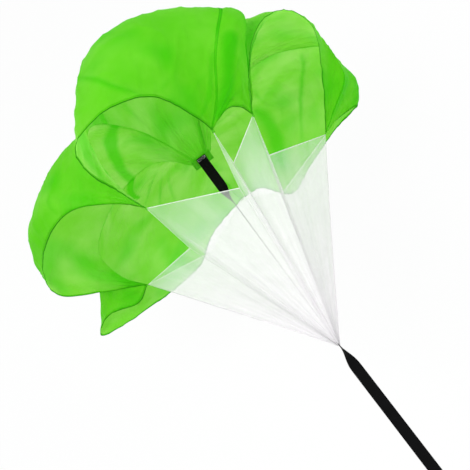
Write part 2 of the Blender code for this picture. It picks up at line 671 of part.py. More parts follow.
def make_gate(material, collection, cutters):
    """Gate: a rod on a slotted block that turns on the pin and rests inside the nose."""
    pivot = Vector((HOOK_HALF_WIDTH, GATE_PIVOT_Y, 0))
    inward = HOOK_WIRE / 2 + CLEARANCE + GATE_WIRE / 2 + GATE_LAP * GATE_LEAN_SHARE
    tip = Vector((HOOK_HALF_WIDTH - inward, NOSE_Y - GATE_LAP, 0))
    along = (tip - pivot).normalized()
    upright = Vector((0, 0, GATE_BLOCK_HEIGHT / 2))
    gate = rod("hook_gate", pivot - upright, pivot + upright, GATE_BLOCK_WIDTH / 2,
               material, collection)
    block = box("gate_block", (-GATE_BLOCK_WIDTH / 2, 0, -GATE_BLOCK_HEIGHT / 2),
                (GATE_BLOCK_WIDTH / 2, GATE_BLOCK_LENGTH, GATE_BLOCK_HEIGHT / 2),
                material, cutters)
    block.matrix_world = Matrix.Translation(pivot) @ along.to_track_quat("Y", "Z").to_matrix().to_4x4()
    bar = rod("gate_bar", pivot + along * GATE_SLOT_RADIUS * 1.5, tip, GATE_WIRE / 2,
              material, cutters)
    slot_half = Vector((0, 0, HOOK_WIRE / 2 + CLEARANCE))
    slot = rod("gate_slot", pivot - slot_half, pivot + slot_half, GATE_SLOT_RADIUS,
               material, cutters)
    hole = rod("gate_hole", pivot - upright * 2, pivot + upright * 2,
               GATE_PIN_RADIUS + CLEARANCE, material, cutters)
    combine(gate, block, "UNION")
    combine(gate, bar, "UNION")
    combine(gate, slot, "DIFFERENCE")
    combine(gate, hole, "DIFFERENCE")
    set_origin(gate, pivot)
    return gate


def make_gate_pin(material, collection):
    pivot = Vector((HOOK_HALF_WIDTH, GATE_PIVOT_Y, 0))
    upright = Vector((0, 0, GATE_BLOCK_HEIGHT / 2))
    pin = rod("gate_pin", pivot - upright, pivot + upright, GATE_PIN_RADIUS,
              material, collection)
    set_origin(pin, (0, RING_BOW_Y, 0))
    return pin


def make_swivel_pin(material, collection, cutters):
    """Headed pin that holds the eye to the hook's shoulder."""
    inside = EYE_NEAR_Y + EYE_WIRE / 2 + CLEARANCE
    start = SHOULDER_Y + HOOK_SHOULDER_LENGTH - SWIVEL_BORE_DEPTH + CLEARANCE
    pin = rod("swivel_pin", (0, start, 0), (0, inside + SWIVEL_HEAD_LENGTH, 0),
              SWIVEL_PIN_RADIUS, material, collection)
    head = rod("swivel_head", (0, inside, 0), (0, inside + SWIVEL_HEAD_LENGTH, 0),
               SWIVEL_HEAD_RADIUS, material, cutters)
    combine(pin, head, "UNION")
    set_origin(pin, (0, RING_BOW_Y, 0))
    return pin


def make_swivel_eye(material, collection, cutters):
    """Oblong eye for the webbing, with a bored cup that turns on the swivel pin."""
    half = WEB_WIDTH / 2 + EYE_SIDE_PLAY + EYE_WIRE / 2
    corner = EYE_WIRE
    points = []
    for x, y, first in ((half - corner, EYE_FAR_Y - corner, 0.0),
                        (corner - half, EYE_FAR_Y - corner, pi / 2),
                        (corner - half, EYE_NEAR_Y + corner, pi),
                        (half - corner, EYE_NEAR_Y + corner, 3 * pi / 2)):
        for i in range(WIRE_ARC_STEPS // 3 + 1):
            angle = first + pi / 2 * i / (WIRE_ARC_STEPS // 3)
            points.append(Vector((x + corner * cos(angle), y + corner * sin(angle), 0)))
    eye = wire("swivel_eye", points, EYE_WIRE / 2, True, material, collection)
    cup = rod("eye_cup", (0, CUP_Y, 0), (0, EYE_NEAR_Y + EYE_WIRE / 2, 0),
              HOOK_SHOULDER_RADIUS, material, cutters)
    bore = rod("eye_bore", (0, CUP_Y - EYE_WIRE, 0), (0, EYE_NEAR_Y + EYE_WIRE, 0),
               SWIVEL_PIN_RADIUS + CLEARANCE, material, cutters)
    combine(eye, cup, "UNION")
    combine(eye, bore, "DIFFERENCE")
    return eye


def make_crown_patch(material, collection):
    """Square of doubled cloth inside the crown, under the gores' points."""
    centre = crown_centre()
    half = CROWN_RING_RADIUS + PATCH_LAP
    back = centre.y - CLOTH_THICKNESS / 2 - CLEARANCE
    return box("crown_patch", (centre.x - half, back - PATCH_THICKNESS, centre.z - half),
               (centre.x + half, back, centre.z + half), material, collection)


def add_bar_and_cheeks(half_piece, solid_x, side, material, cutters):
    """Two end plates and the bar that the belt's webbing turns round."""
    bar_x = solid_x + side * BAR_SETBACK
    outer_x = bar_x + side * BAR_RADIUS
    inner_x = solid_x - side * BUCKLE_WALL
    for up in (-1, 1):
        outer_z = up * BUCKLE_HALF_HEIGHT
        inner_z = up * (BUCKLE_HALF_HEIGHT - CHEEK_WIDTH)
        cheek = box(half_piece.name + "_cheek",
                    (min(inner_x, outer_x), BUCKLE_Y - BUCKLE_THICKNESS / 2, min(outer_z, inner_z)),
                    (max(inner_x, outer_x), BUCKLE_Y + BUCKLE_THICKNESS / 2, max(outer_z, inner_z)),
                    material, cutters)
        combine(half_piece, cheek, "UNION")
    bar_half = BUCKLE_HALF_HEIGHT - CHEEK_WIDTH / 2
    bar = rod(half_piece.name + "_bar", (bar_x, BUCKLE_Y, -bar_half), (bar_x, BUCKLE_Y, bar_half),
              BAR_RADIUS, material, cutters)
    combine(half_piece, bar, "UNION")


def make_socket(material, collection, cutters):
    """Buckle half with a hollow for the plug and a window in each side for its barbs."""
    low_y = BUCKLE_Y - BUCKLE_THICKNESS / 2
    high_y = BUCKLE_Y + BUCKLE_THICKNESS / 2
    far_x = SOCKET_LENGTH / 2
    socket = box("buckle_socket", (MOUTH_X, low_y, -BUCKLE_HALF_HEIGHT),
                 (far_x, high_y, BUCKLE_HALF_HEIGHT), material, collection)
    soften_edges(socket, BUCKLE_EDGE_RADIUS)
    hollow = box("socket_hollow",
                 (MOUTH_X - BUCKLE_WALL, low_y + BUCKLE_WALL, BUCKLE_WALL - BUCKLE_HALF_HEIGHT),
                 (far_x - SOCKET_FLOOR, high_y - BUCKLE_WALL, BUCKLE_HALF_HEIGHT - BUCKLE_WALL),
                 material, cutters)
    window_x = MOUTH_X + ARM_LENGTH - PLUG_GAP + CLEARANCE - WINDOW_LENGTH
    window = box("socket_window",
                 (window_x, BUCKLE_Y - ARM_THICKNESS / 2 - CLEARANCE, -BUCKLE_HALF_HEIGHT * 2),
                 (window_x + WINDOW_LENGTH, BUCKLE_Y + ARM_THICKNESS / 2 + CLEARANCE,
                  BUCKLE_HALF_HEIGHT * 2), material, cutters)
    combine(socket, hollow, "DIFFERENCE")
    combine(socket, window, "DIFFERENCE")
    add_bar_and_cheeks(socket, far_x, 1, material, cutters)
    return socket


def make_plug(material, collection, cutters):
    """Buckle half with a middle tongue and two barbed arms that catch in the windows."""
    low_y = BUCKLE_Y - BUCKLE_THICKNESS / 2
    high_y = BUCKLE_Y + BUCKLE_THICKNESS / 2
    base_x = PLUG_FACE_X - PLUG_BASE_LENGTH
    plug = box("buckle_plug", (base_x, low_y, -BUCKLE_HALF_HEIGHT),
               (PLUG_FACE_X, high_y, BUCKLE_HALF_HEIGHT), material, collection)
    soften_edges(plug, BUCKLE_EDGE_RADIUS)
    thin = ARM_THICKNESS / 2
    root_x = PLUG_FACE_X - BUCKLE_WALL
    tongue = box("plug_tongue", (root_x, BUCKLE_Y - thin, -TONGUE_WIDTH / 2),
                 (PLUG_FACE_X + TONGUE_LENGTH, BUCKLE_Y + thin, TONGUE_WIDTH / 2),
                 material, cutters)
    combine(plug, tongue, "UNION")
    tip_x = PLUG_FACE_X + ARM_LENGTH
    for side in (-1, 1):
        inner = side * (ARM_OFFSET - ARM_WIDTH / 2)
        outer = side * (ARM_OFFSET + ARM_WIDTH / 2)
        arm = box("plug_arm", (root_x, BUCKLE_Y - thin, min(inner, outer)),
                  (tip_x, BUCKLE_Y + thin, max(inner, outer)), material, cutters)
        barb = barb_object(tip_x, outer - side * CLEARANCE, side, thin, material, cutters)
        combine(plug, arm, "UNION")
        combine(plug, barb, "UNION")
    add_bar_and_cheeks(plug, base_x, -1, material, cutters)
    return plug


def barb_object(tip_x, root_z, side, thin, material, cutters):
    """Barb on an arm: a steep face towards the plug and a long ramp towards the tip."""
    top_z = root_z + side * (BARB_HEIGHT + CLEARANCE)
    outline = [(tip_x - BARB_LENGTH, root_z), (tip_x, root_z),
               (tip_x - BARB_LENGTH / 2, top_z), (tip_x - BARB_LENGTH, top_z)]
    bm = bmesh.new()
    face = bm.faces.new([bm.verts.new((x, BUCKLE_Y - thin, z)) for x, z in outline])
    made = bmesh.ops.extrude_face_region(bm, geom=[face])
    for vert in made["geom"]:
        if isinstance(vert, bmesh.types.BMVert):
            vert.co.y += thin * 2
    bmesh.ops.recalc_face_normals(bm, faces=bm.faces[:])
    return mesh_object("plug_barb", bm, material, cutters)


def make_glide(material, collection, cutters):
    """Oblong loop round both layers of the belt's front."""
    half_height = BELT_WIDTH / 2 + GLIDE_PLAY
    half_depth = LAYER_PITCH / 2 + BELT_THICKNESS / 2 + GLIDE_PLAY
    low_x = GLIDE_PLACE - GLIDE_LENGTH / 2
    high_x = GLIDE_PLACE + GLIDE_LENGTH / 2
    glide = box("belt_glide",
                (low_x, BUCKLE_Y - half_depth - GLIDE_WALL, -half_height - GLIDE_WALL),
                (high_x, BUCKLE_Y + half_depth + GLIDE_WALL, half_height + GLIDE_WALL),
                material, collection)
    soften_edges(glide, BUCKLE_EDGE_RADIUS)
    hollow = box("glide_hollow", (low_x - GLIDE_LENGTH, BUCKLE_Y - half_depth, -half_height),
                 (high_x + GLIDE_LENGTH, BUCKLE_Y + half_depth, half_height), material, cutters)
    combine(glide, hollow, "DIFFERENCE")
    set_origin(glide, (GLIDE_PLACE, BUCKLE_Y, 0))
    return glide


def main():
    clear_scene()
    parts = new_collection("Speed parachute")
    cutters = new_collection("Cutters")
    nylon = make_material("canopy nylon", (0.13, 0.62, 0.03), 0.55)
    mesh_net = make_material("white net", (0.86, 0.87, 0.88), 0.8)
    webbing = make_material("black webbing", (0.012, 0.012, 0.014), 0.85)
    steel = make_material("plated steel", (0.62, 0.63, 0.65), 0.3, 1.0)
    plastic = make_material("black plastic", (0.02, 0.02, 0.022), 0.5)
    chute = [make_gore(name, nylon, parts) for name in TIP_ORDER]
    chute += [make_net_panel(name, mesh_net, parts) for name in TIP_ORDER]
    chute.append(make_crown_patch(nylon, parts))
    chute.append(make_centre_strap(webbing, parts))
    chute.append(make_tow_strap(webbing, parts))
    chute.append(make_swivel_eye(steel, parts, cutters))
    for piece in chute:
        set_origin(piece, (0, CUP_Y, 0))
    make_swivel_pin(steel, parts, cutters)
    make_hook(steel, parts, cutters)
    make_gate(steel, parts, cutters)
    make_gate_pin(steel, parts)
    make_tow_ring(steel, parts)
    make_ring_keeper(webbing, parts)
    make_belt(webbing, parts)
    make_socket(plastic, parts, cutters)
    make_plug(plastic, parts, cutters)
    make_glide(plastic, parts, cutters)


main()
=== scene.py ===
"""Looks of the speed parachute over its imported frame: cloth, net, webbing, metal, light, camera.

Metres, in the row's frame: +Y runs along the tow line to the canopy's crown, +Z is up.
"""

from math import cos, pi, radians, sin

import bmesh
import bpy
import numpy as np
from mathutils import Matrix, Vector, noise


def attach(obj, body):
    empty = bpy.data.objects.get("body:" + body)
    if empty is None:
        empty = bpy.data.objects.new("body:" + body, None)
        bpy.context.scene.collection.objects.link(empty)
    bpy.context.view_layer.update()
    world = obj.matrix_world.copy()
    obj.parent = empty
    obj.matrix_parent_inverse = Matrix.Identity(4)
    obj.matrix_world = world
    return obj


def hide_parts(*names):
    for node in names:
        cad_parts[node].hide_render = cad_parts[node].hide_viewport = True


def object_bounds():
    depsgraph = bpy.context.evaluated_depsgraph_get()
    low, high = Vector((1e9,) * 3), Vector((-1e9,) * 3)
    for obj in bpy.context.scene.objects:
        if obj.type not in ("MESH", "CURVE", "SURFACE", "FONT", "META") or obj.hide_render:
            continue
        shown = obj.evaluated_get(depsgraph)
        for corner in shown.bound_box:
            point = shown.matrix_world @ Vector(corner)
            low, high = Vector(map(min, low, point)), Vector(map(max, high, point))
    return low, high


MM = 0.001

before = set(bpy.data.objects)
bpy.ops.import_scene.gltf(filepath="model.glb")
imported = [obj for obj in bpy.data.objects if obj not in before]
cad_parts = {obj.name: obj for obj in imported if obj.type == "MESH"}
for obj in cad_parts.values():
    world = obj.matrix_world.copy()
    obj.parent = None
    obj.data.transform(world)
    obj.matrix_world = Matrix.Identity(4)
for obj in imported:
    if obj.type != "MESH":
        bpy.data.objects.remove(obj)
CAD_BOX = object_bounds()

# Places along the tow line, as in the part's source
TOW_LENGTH = 0.455
NET_LENGTH = 0.609
CROWN_SETBACK = 0.070
LOBE_REACH = 0.580
BAR_Y = 4.7 * MM
EYE_FAR_Y = 93.2 * MM
APEX_Y = EYE_FAR_Y + TOW_LENGTH
MOUTH_Y = APEX_Y + NET_LENGTH
CROWN_Y = MOUTH_Y + CROWN_SETBACK
CROWN_AXIS_SHARE = (0.02, 0.02)
CROWN_RING_RADIUS = 24.0 * MM

# Camera: above the tow line and rolled, aimed beside the middle of the mouth
CAMERA_ELEVATION = radians(67)
CAMERA_ROLL = radians(37.06)
CAMERA_DISTANCE = 2.6
CAMERA_SIDE = 0.0638
CAMERA_DROP = 0.1580
CAMERA_LENS = 68.67
CAMERA_SENSOR = 36.0
CAMERA_FAR = 60.0

# Studio: each lamp's name, place, size and power
LAMPS = (("key", (-1.5, 0.9, 3.4), 2.4, 92), ("side fill", (2.8, 1.9, 1.5), 2.0, 29),
         ("front fill", (1.2, -1.6, 1.6), 2.4, 29))
WORLD_LIGHT = 0.55
FLOOR_DROP = 0.55
FLOOR_RADIUS = 30.0
FLOOR_WHITE_SHARE = 0.92

# Nylon's colours: stops of what it sends back and what it lets through, then both again
# with painted deeper shade where it lies double, and with painted fold shade and stitches along a
# hem
NYLON_BODY = ((0.25, (0.118, 0.57, 0.0058)), (0.70, (0.170, 0.66, 0.015)))
NYLON_GLOW = ((0.34, (0.22, 0.78, 0.040)), (0.58, (0.46, 0.89, 0.20)))
DOUBLED_SHADE_BODY = (0.058, 0.58, 0.001)
DOUBLED_SHADE_GLOW = (0.068, 0.66, 0.002)
HEM_SHADE_AND_STITCH_BODY = (0.015, 0.26, 0.002)
HEM_SHADE_AND_STITCH_GLOW = (0.03, 0.38, 0.004)

# Webbing, belt and ring, as in the part's source but for the tow strap's slower turn
CLEARANCE = 0.3 * MM
WEB_WIDTH = 30.0 * MM
WEB_THICKNESS = 2.2 * MM
CLOTH_THICKNESS = 0.6 * MM
PATCH_THICKNESS = 1.2 * MM
PATCH_HALF = 32.0 * MM
STRAP_SEW_LENGTH = 24.0 * MM
STRAP_BEND_RADIUS = 7.0 * MM
CENTRE_FLAT_SHARE = 0.12
CENTRE_TURN_SHARE = 0.12
TOW_TURN_SHARE = 0.22
EYE_WIRE = 4.0 * MM
LOOP_TAIL = 45.0 * MM
BELT_WIDTH = 40.0 * MM
BELT_THICKNESS = 2.4 * MM
BELT_HALF_SPAN = 0.150
BELT_DEPTH = 0.220
BELT_CORNER_RADIUS = 0.080
BELT_TAIL = 38.0 * MM
BELT_SEWN_TAIL = 24.0 * MM
BAR_RADIUS = 2.2 * MM
SOCKET_BAR_X = 23.0 * MM
PLUG_BAR_X = -31.6 * MM
RING_WIRE = 4.0 * MM
KEEPER_WIDTH = 24.0 * MM
KEEPER_THICKNESS = 1.4 * MM
KEEPER_SEW_LENGTH = 18.0 * MM
LAYER_PITCH = BELT_THICKNESS + CLEARANCE
FRONT_Y = -BELT_DEPTH - BELT_THICKNESS / 2
BUCKLE_Y = FRONT_Y - LAYER_PITCH / 2
WRAP_START = radians(50)
STRAP_STEPS = 120
BEND_STEPS = 9
WRAP_STEPS = 17
WEB_SIDES = 16

# Cloth details
HEM_WIDTH = 8.0 * MM
SEAM_WIDTH = 9.0 * MM
TAB_WIDTH = 9.0 * MM
TAB_LENGTH = 16.0 * MM
LAYER = 0.8 * MM
CROWN_CAP_RADIUS = 23.2 * MM
TAPE_WIDTH = 3.0 * MM
NET_RING_GAP = 1.2 * MM
NET_TIP_LEAD = 0.8 * MM
# Rows of folded strips: share of the width, then height in layers
HEM_FOLD = ((1.0, -0.9), (0.6, -1.0), (0.2, -1.0), (0.0, -0.8))
SEAM_ROWS = ((0.0, 0.2), (0.06, 0.9), (0.5, 1.0), (0.94, 0.9), (1.0, 0.1))
TAPE_ROWS = ((0.0, -0.5), (0.0, 0.5), (1.0, 0.4), (1.0, -0.4))

# Relief of the cloth: heights, and the runs over which it fades or comes again
WRINKLE_HEIGHT = 5.0 * MM
SMALL_WRINKLE_HEIGHT = 1.6 * MM
TIP_FOLD_HEIGHT = 3.5 * MM
TIP_FOLD_FADE = 0.09
GATHER_HEIGHT = 3.0 * MM
GATHER_FADE = 0.10
PUCKER_HEIGHT = 2.2 * MM
PUCKER_PITCH = 0.034
PUCKER_FADE = 0.018
STREAK_HEIGHT = 3.0 * MM
NET_RIDGE_HEIGHT = 6.0 * MM
NET_FINE_HEIGHT = 3.5 * MM

# Stitches: drawn ones, raised ones, and the half sides of the sewn boxes
STITCH_PITCH = 3.0 * MM
STITCH_SHARE = 0.66
STITCH_HALF = 0.4 * MM
THREAD_PITCH = 2.6 * MM
THREAD_HALF = 0.35 * MM
CROWN_THREAD_HALF = 0.6 * MM
CROWN_BOX = (12 * MM, 7 * MM)
LOOP_BOX = (12 * MM, 11 * MM)
LOOP_BOX_PLACE = 30 * MM
BELT_BOX = (5.5 * MM, 16 * MM)
BELT_BOX_PLACE = 16 * MM
KEEPER_BOX = (7 * MM, 9.5 * MM)

# Guide points, as in the part's source: shares of the lobes' reach, to the right, up and back
# from the middle of the mouth
TIP_SHARES = {
    "left": (-0.34, 0.20, 0.0),
    "top": (0.13, 0.41, 0.0),
    "upper_right": (0.33, 0.30, 0.0),
    "right": (0.64, -0.37, 0.0),
    "bottom": (0.07, -0.38, 0.0),
    "lower_left": (-0.63, -0.54, 0.0),
}
TIP_ORDER = ("left", "top", "upper_right", "right", "bottom", "lower_left")
HEM_SHARES = {
    "left": ((-0.38, 0.42, 0.03), (-0.42, 0.68, 0.05), (-0.38, 0.88, 0.07),
             (-0.20, 0.93, 0.08), (-0.01, 0.80, 0.09), (0.10, 0.54, 0.03)),
    "top": ((0.19, 0.43, 0.02), (0.25, 0.43, 0.03), (0.30, 0.37, 0.03)),
    "upper_right": ((0.47, 0.42, 0.18), (0.60, 0.50, 0.25), (0.75, 0.40, 0.29),
                    (0.85, 0.16, 0.26), (0.77, -0.14, 0.15)),
    "right": ((0.72, -0.42, 0.05), (0.91, -0.54, 0.10), (0.76, -0.68, 0.13),
              (0.52, -0.71, 0.06), (0.33, -0.70, -0.02), (0.20, -0.54, 0.05)),
    "bottom": ((-0.18, -0.60, 0.03), (-0.35, -0.76, -0.01), (-0.78, -0.74, -0.03),
               (-1.04, -0.74, 0.01), (-0.94, -0.70, 0.06), (-0.74, -0.65, -0.01)),
    "lower_left": ((-0.86, -0.52, 0.12), (-1.04, -0.38, 0.19), (-0.93, 0.02, 0.21),
                   (-0.63, 0.34, 0.15), (-0.44, 0.30, 0.06)),
}
SEAM_SHARES = {
    "left": ((-0.38, 0.32, 0.10), (-0.37, 0.46, 0.30), (-0.30, 0.38, 0.43),
             (-0.14, 0.18, 0.37)),
    "top": ((0.23, 0.50, 0.06), (0.33, 0.60, 0.17), (0.42, 0.62, 0.27),
            (0.50, 0.58, 0.38), (0.42, 0.38, 0.50), (0.18, 0.15, 0.40)),
    "upper_right": ((0.37, 0.33, 0.07), (0.45, 0.39, 0.21), (0.53, 0.42, 0.35),
                    (0.42, 0.30, 0.44), (0.18, 0.10, 0.36)),
    "right": ((0.75, -0.33, 0.06), (0.90, -0.25, 0.15), (0.89, -0.14, 0.30),
              (0.82, -0.13, 0.36), (0.62, -0.09, 0.43), (0.22, -0.04, 0.34)),
    "bottom": ((0.06, -0.52, 0.10), (0.05, -0.58, 0.28), (0.03, -0.40, 0.40),
               (0.01, -0.16, 0.34)),
    "lower_left": ((-0.72, -0.50, 0.12), (-0.74, -0.45, 0.30), (-0.50, -0.32, 0.42),
                   (-0.20, -0.13, 0.36)),
}
CREST_SHARES = {
    "left": ((-0.17, 0.90, 0.30), (-0.04, 0.78, 0.50), (0.03, 0.54, 0.60),
             (0.04, 0.27, 0.48)),
    "top": ((0.36, 0.44, 0.08), (0.46, 0.53, 0.19), (0.56, 0.52, 0.35),
            (0.42, 0.34, 0.48), (0.18, 0.12, 0.39)),
    "upper_right": ((0.81, 0.22, 0.36), (0.78, 0.19, 0.42), (0.58, 0.11, 0.48),
                    (0.32, 0.05, 0.42)),
    "right": ((0.74, -0.72, 0.20), (0.72, -0.58, 0.34), (0.48, -0.38, 0.43),
              (0.18, -0.16, 0.34)),
    "bottom": ((-0.78, -0.84, 0.10), (-0.66, -0.80, 0.28), (-0.40, -0.56, 0.42),
               (-0.13, -0.22, 0.37)),
    "lower_left": ((-0.93, 0.08, 0.31), (-0.78, 0.10, 0.43), (-0.52, 0.06, 0.50),
                   (-0.24, 0.02, 0.41)),
}
NOTCH_SHARES = {
    "left": (0.07, 0.30, -0.26),
    "top": (0.12, 0.30, -0.14),
    "upper_right": (0.28, 0.20, -0.17),
    "right": (0.26, -0.30, -0.15),
    "bottom": (-0.22, -0.36, -0.15),
    "lower_left": (-0.30, -0.15, -0.15),
}
HEM_FADE_SHARE = 0.6
EVEN_TURN_SHARE = 0.6

# Grid columns and rows of each gore and each net, the narrow nets with fewer, and the steps along
# a crease's route
GORE_COLUMNS = {"left": 126, "top": 40, "upper_right": 96, "right": 126, "bottom": 120,
                "lower_left": 120}
GORE_ROWS = 120
ROUTE_STEPS = 60
NARROW_NETS = ("top", "upper_right")
NARROW_NET_COLUMNS = 20
NET_COLUMNS = 60
NET_ROWS = 60

# Creases in shares (across, along) of a gore, then width and height in mm, and how far the
# cloth lies double there, painted as deeper shade along the crease. A height below zero stands
# into the canopy.
CREASES = {
    "left": ((((0.40, 0.27), (0.60, 0.08), (0.69, 0.01)), 7, 6, 0.8),
             (((0.63, 0.40), (0.70, 0.30), (0.79, 0.26)), 12, 4, 0.0),
             (((0.74, 0.02), (0.80, 0.10), (0.84, 0.22)), 9, 4, 0.2),
             (((0.85, 0.04), (0.90, 0.14), (0.97, 0.20)), 8, 4, 0.2),
             (((0.10, 0.78), (0.20, 0.70), (0.34, 0.66)), 9, -5, 0.3),
             (((0.18, 0.88), (0.30, 0.84), (0.45, 0.80)), 8, -4, 0.2)),
    "top": ((((0.10, 0.10), (0.40, 0.22), (0.85, 0.26)), 7, 3, 0.2),
            (((0.20, 0.34), (0.60, 0.40)), 9, 3, 0.1)),
    "upper_right": ((((0.15, 0.10), (0.45, 0.20), (0.60, 0.30)), 8, -3, 0.1),
                    (((0.06, 0.35), (0.20, 0.22), (0.36, 0.16)), 8, 3, 0.2)),
    "right": ((((0.10, 0.50), (0.19, 0.48), (0.39, 0.42), (0.51, 0.36), (0.58, 0.29),
                (0.65, 0.20)), 7, -7, 0.8),
              (((0.34, 0.64), (0.48, 0.56), (0.59, 0.45)), 6, -4, 0.5),
              (((0.44, 0.52), (0.54, 0.44), (0.62, 0.36)), 6, -4, 0.5),
              (((0.50, 0.74), (0.62, 0.60), (0.72, 0.45)), 4, -4, 0.1),
              (((0.68, 0.56), (0.76, 0.48), (0.84, 0.40)), 4, -3, 0.1),
              (((0.06, 0.20), (0.20, 0.22), (0.34, 0.16)), 9, 4, 0.2),
              (((0.10, 0.05), (0.22, 0.12), (0.30, 0.26)), 9, 4, 0.1)),
    "bottom": ((((0.52, 0.72), (0.49, 0.62), (0.47, 0.52)), 5, -5, 0.4),
               (((0.37, 0.66), (0.35, 0.56), (0.34, 0.46)), 5, -5, 0.4),
               (((0.29, 0.66), (0.26, 0.54), (0.24, 0.44)), 5, -4, 0.3),
               (((0.30, 0.78), (0.20, 0.62), (0.05, 0.48)), 5, -5, 0.0),
               (((0.60, 0.12), (0.75, 0.22), (0.90, 0.30)), 8, 5, 0.3)),
    "lower_left": ((((0.50, 0.70), (0.31, 0.71), (0.15, 0.75), (0.01, 0.77)), 5, -5, 0.0),
                   (((0.05, 0.05), (0.10, 0.14), (0.14, 0.22), (0.20, 0.34)), 7, -5, 0.4),
                   (((0.02, 0.10), (0.06, 0.18), (0.09, 0.30)), 6, -4, 0.3),
                   (((0.70, 0.04), (0.72, 0.16), (0.78, 0.30)), 8, 4, 0.3),
                   (((0.86, 0.03), (0.84, 0.14), (0.88, 0.26)), 7, 4, 0.2),
                   (((0.60, 0.05), (0.62, 0.16)), 8, 4, 0.1)),
}
# Bands where the cloth has folded over on itself: shares, half width and height in mm, and
# doubling, painted as deeper shade. A band of the half width named here fades over all of it, a
# narrower one faster.
SOFT_BAND_HALF = 32.0
FOLDED_BANDS = {
    "left": ((((0.00, 0.62), (0.03, 0.61), (0.07, 0.60)), 12, -3, 0.8),
             (((0.92, 0.03), (0.95, 0.10), (0.98, 0.26)), 8, 2, 0.4)),
    "top": ((((0.12, 0.05), (0.18, 0.16), (0.26, 0.30)), 30, 1, 0.8),),
    "upper_right": ((((0.04, 0.20), (0.05, 0.32), (0.08, 0.44)), 12, 2, 0.8),),
    "right": ((((0.60, 0.50), (0.66, 0.40), (0.72, 0.30), (0.75, 0.20)), 34, -3, 0.75),),
    "bottom": ((((1.00, 0.66), (0.82, 0.63), (0.62, 0.60)), 12, -3, 0.9),),
    "lower_left": ((((1.00, 0.66), (0.73, 0.68), (0.37, 0.69), (0.00, 0.66)), 22, -4, 0.8),),
}


# Shader trees

def new_tree(name):
    material = bpy.data.materials.new(name)
    material.use_nodes = True
    material.node_tree.nodes.clear()
    return material, material.node_tree


def add(tree, kind, inputs=None, **settings):
    """New shader node: inputs by name or number, each a value or another node's socket."""
    node = tree.nodes.new("ShaderNode" + kind)
    for key, value in settings.items():
        setattr(node, key, value)
    for key, value in (inputs or {}).items():
        if isinstance(value, bpy.types.NodeSocket):
            tree.links.new(value, node.inputs[key])
        else:
            node.inputs[key].default_value = value
    return node


def finished(material, shader):
    add(material.node_tree, "OutputMaterial", {"Surface": shader.outputs[0]})
    return material


def maths(tree, operation, first, second=0.0):
    return add(tree, "Math", {0: first, 1: second}, operation=operation).outputs[0]


def times(tree, first, second):
    return maths(tree, "MULTIPLY", first, second)


def plus(tree, first, second):
    return maths(tree, "ADD", first, second)


def minus(tree, first, second):
    return maths(tree, "SUBTRACT", first, second)


def ranged(tree, value, results, span=(0.0, 1.0)):
    """Value moved from one span of numbers to another, and kept within it."""
    return add(tree, "MapRange", {0: value, 1: span[0], 2: span[1], 3: results[0],
                                  4: results[1]}).outputs[0]


def ramp(tree, value, *stops):
    """Colour of a value on a ramp with two stops, each a place and a colour."""
    node = add(tree, "ValToRGB", {0: value})
    for element, (place, colour) in zip(node.color_ramp.elements, stops):
        element.position = place
        element.color = (*colour, 1)
    return node.outputs[0]


def blended(tree, share, first, second):
    """Colour with this share of the second one."""
    return add(tree, "MixRGB", {0: share, 1: first, 2: second}).outputs[0]


def mixed(tree, share, first, second):
    """Shader with this share of the second one."""
    return add(tree, "MixShader", {0: share, 1: first.outputs[0], 2: second.outputs[0]})


def noise_value(tree, place, scale, detail, roughness=0.5):
    return add(tree, "TexNoise", {"Vector": place, "Scale": scale, "Detail": detail,
                                  "Roughness": roughness}).outputs["Fac"]


def stored(tree, name):
    """Value that a mesh keeps for each of its points."""
    return add(tree, "Attribute", attribute_name=name).outputs["Fac"]


def bumped(tree, height, strength, distance):
    return add(tree, "Bump", {"Height": height, "Strength": strength,
                              "Distance": distance}).outputs[0]


def principled(tree, colour, roughness, inputs):
    return add(tree, "BsdfPrincipled", {"Base Color": colour, "Roughness": roughness, **inputs})


def grey_of(tree, tone, green_share=1.0):
    """Grey of a tone, with its green held back."""
    green = tone if green_share == 1.0 else times(tree, tone, green_share)
    return add(tree, "CombineColor", {0: tone, 1: green, 2: tone}).outputs[0]


# Camera, floor and light

def make_camera():
    """The photograph's view: high above the tow line, rolled so that the line runs down right."""
    back = Vector((0, -cos(CAMERA_ELEVATION), sin(CAMERA_ELEVATION)))
    level = Vector((1, 0, 0))
    rise = back.cross(level)
    right = level * cos(CAMERA_ROLL) - rise * sin(CAMERA_ROLL)
    up = level * sin(CAMERA_ROLL) + rise * cos(CAMERA_ROLL)
    place = (Vector((0, MOUTH_Y, 0)) + right * CAMERA_SIDE - up * CAMERA_DROP
             + back * CAMERA_DISTANCE)
    data = bpy.data.cameras.new("camera")
    data.lens = CAMERA_LENS
    data.sensor_width = CAMERA_SENSOR
    data.clip_end = CAMERA_FAR
    camera = bpy.data.objects.new("camera", data)
    bpy.context.scene.collection.objects.link(camera)
    turn = Matrix((right, up, back)).transposed().to_4x4()
    camera.matrix_world = Matrix.Translation(place) @ turn
    bpy.context.scene.camera = camera


def area_light(name, place, size, power):
    """Round soft lamp that faces the middle of the mouth."""
    data = bpy.data.lights.new(name, "AREA")
    data.shape = "DISK"
    data.size = size
    data.energy = power
    light = bpy.data.objects.new(name, data)
    bpy.context.scene.collection.objects.link(light)
    light.location = place
    light.rotation_mode = "QUATERNION"
    way = Vector((0, MOUTH_Y, 0)) - Vector(place)
    light.rotation_quaternion = way.to_track_quat("-Z", "Y")


def seen_directly(tree):
    """1 for rays from the camera and for those that mirrors and glass send on."""
    path = add(tree, "LightPath")
    seen = maths(tree, "MAXIMUM", path.outputs["Is Camera Ray"], path.outputs["Is Glossy Ray"])
    return maths(tree, "MAXIMUM", seen, path.outputs["Is Transmission Ray"])


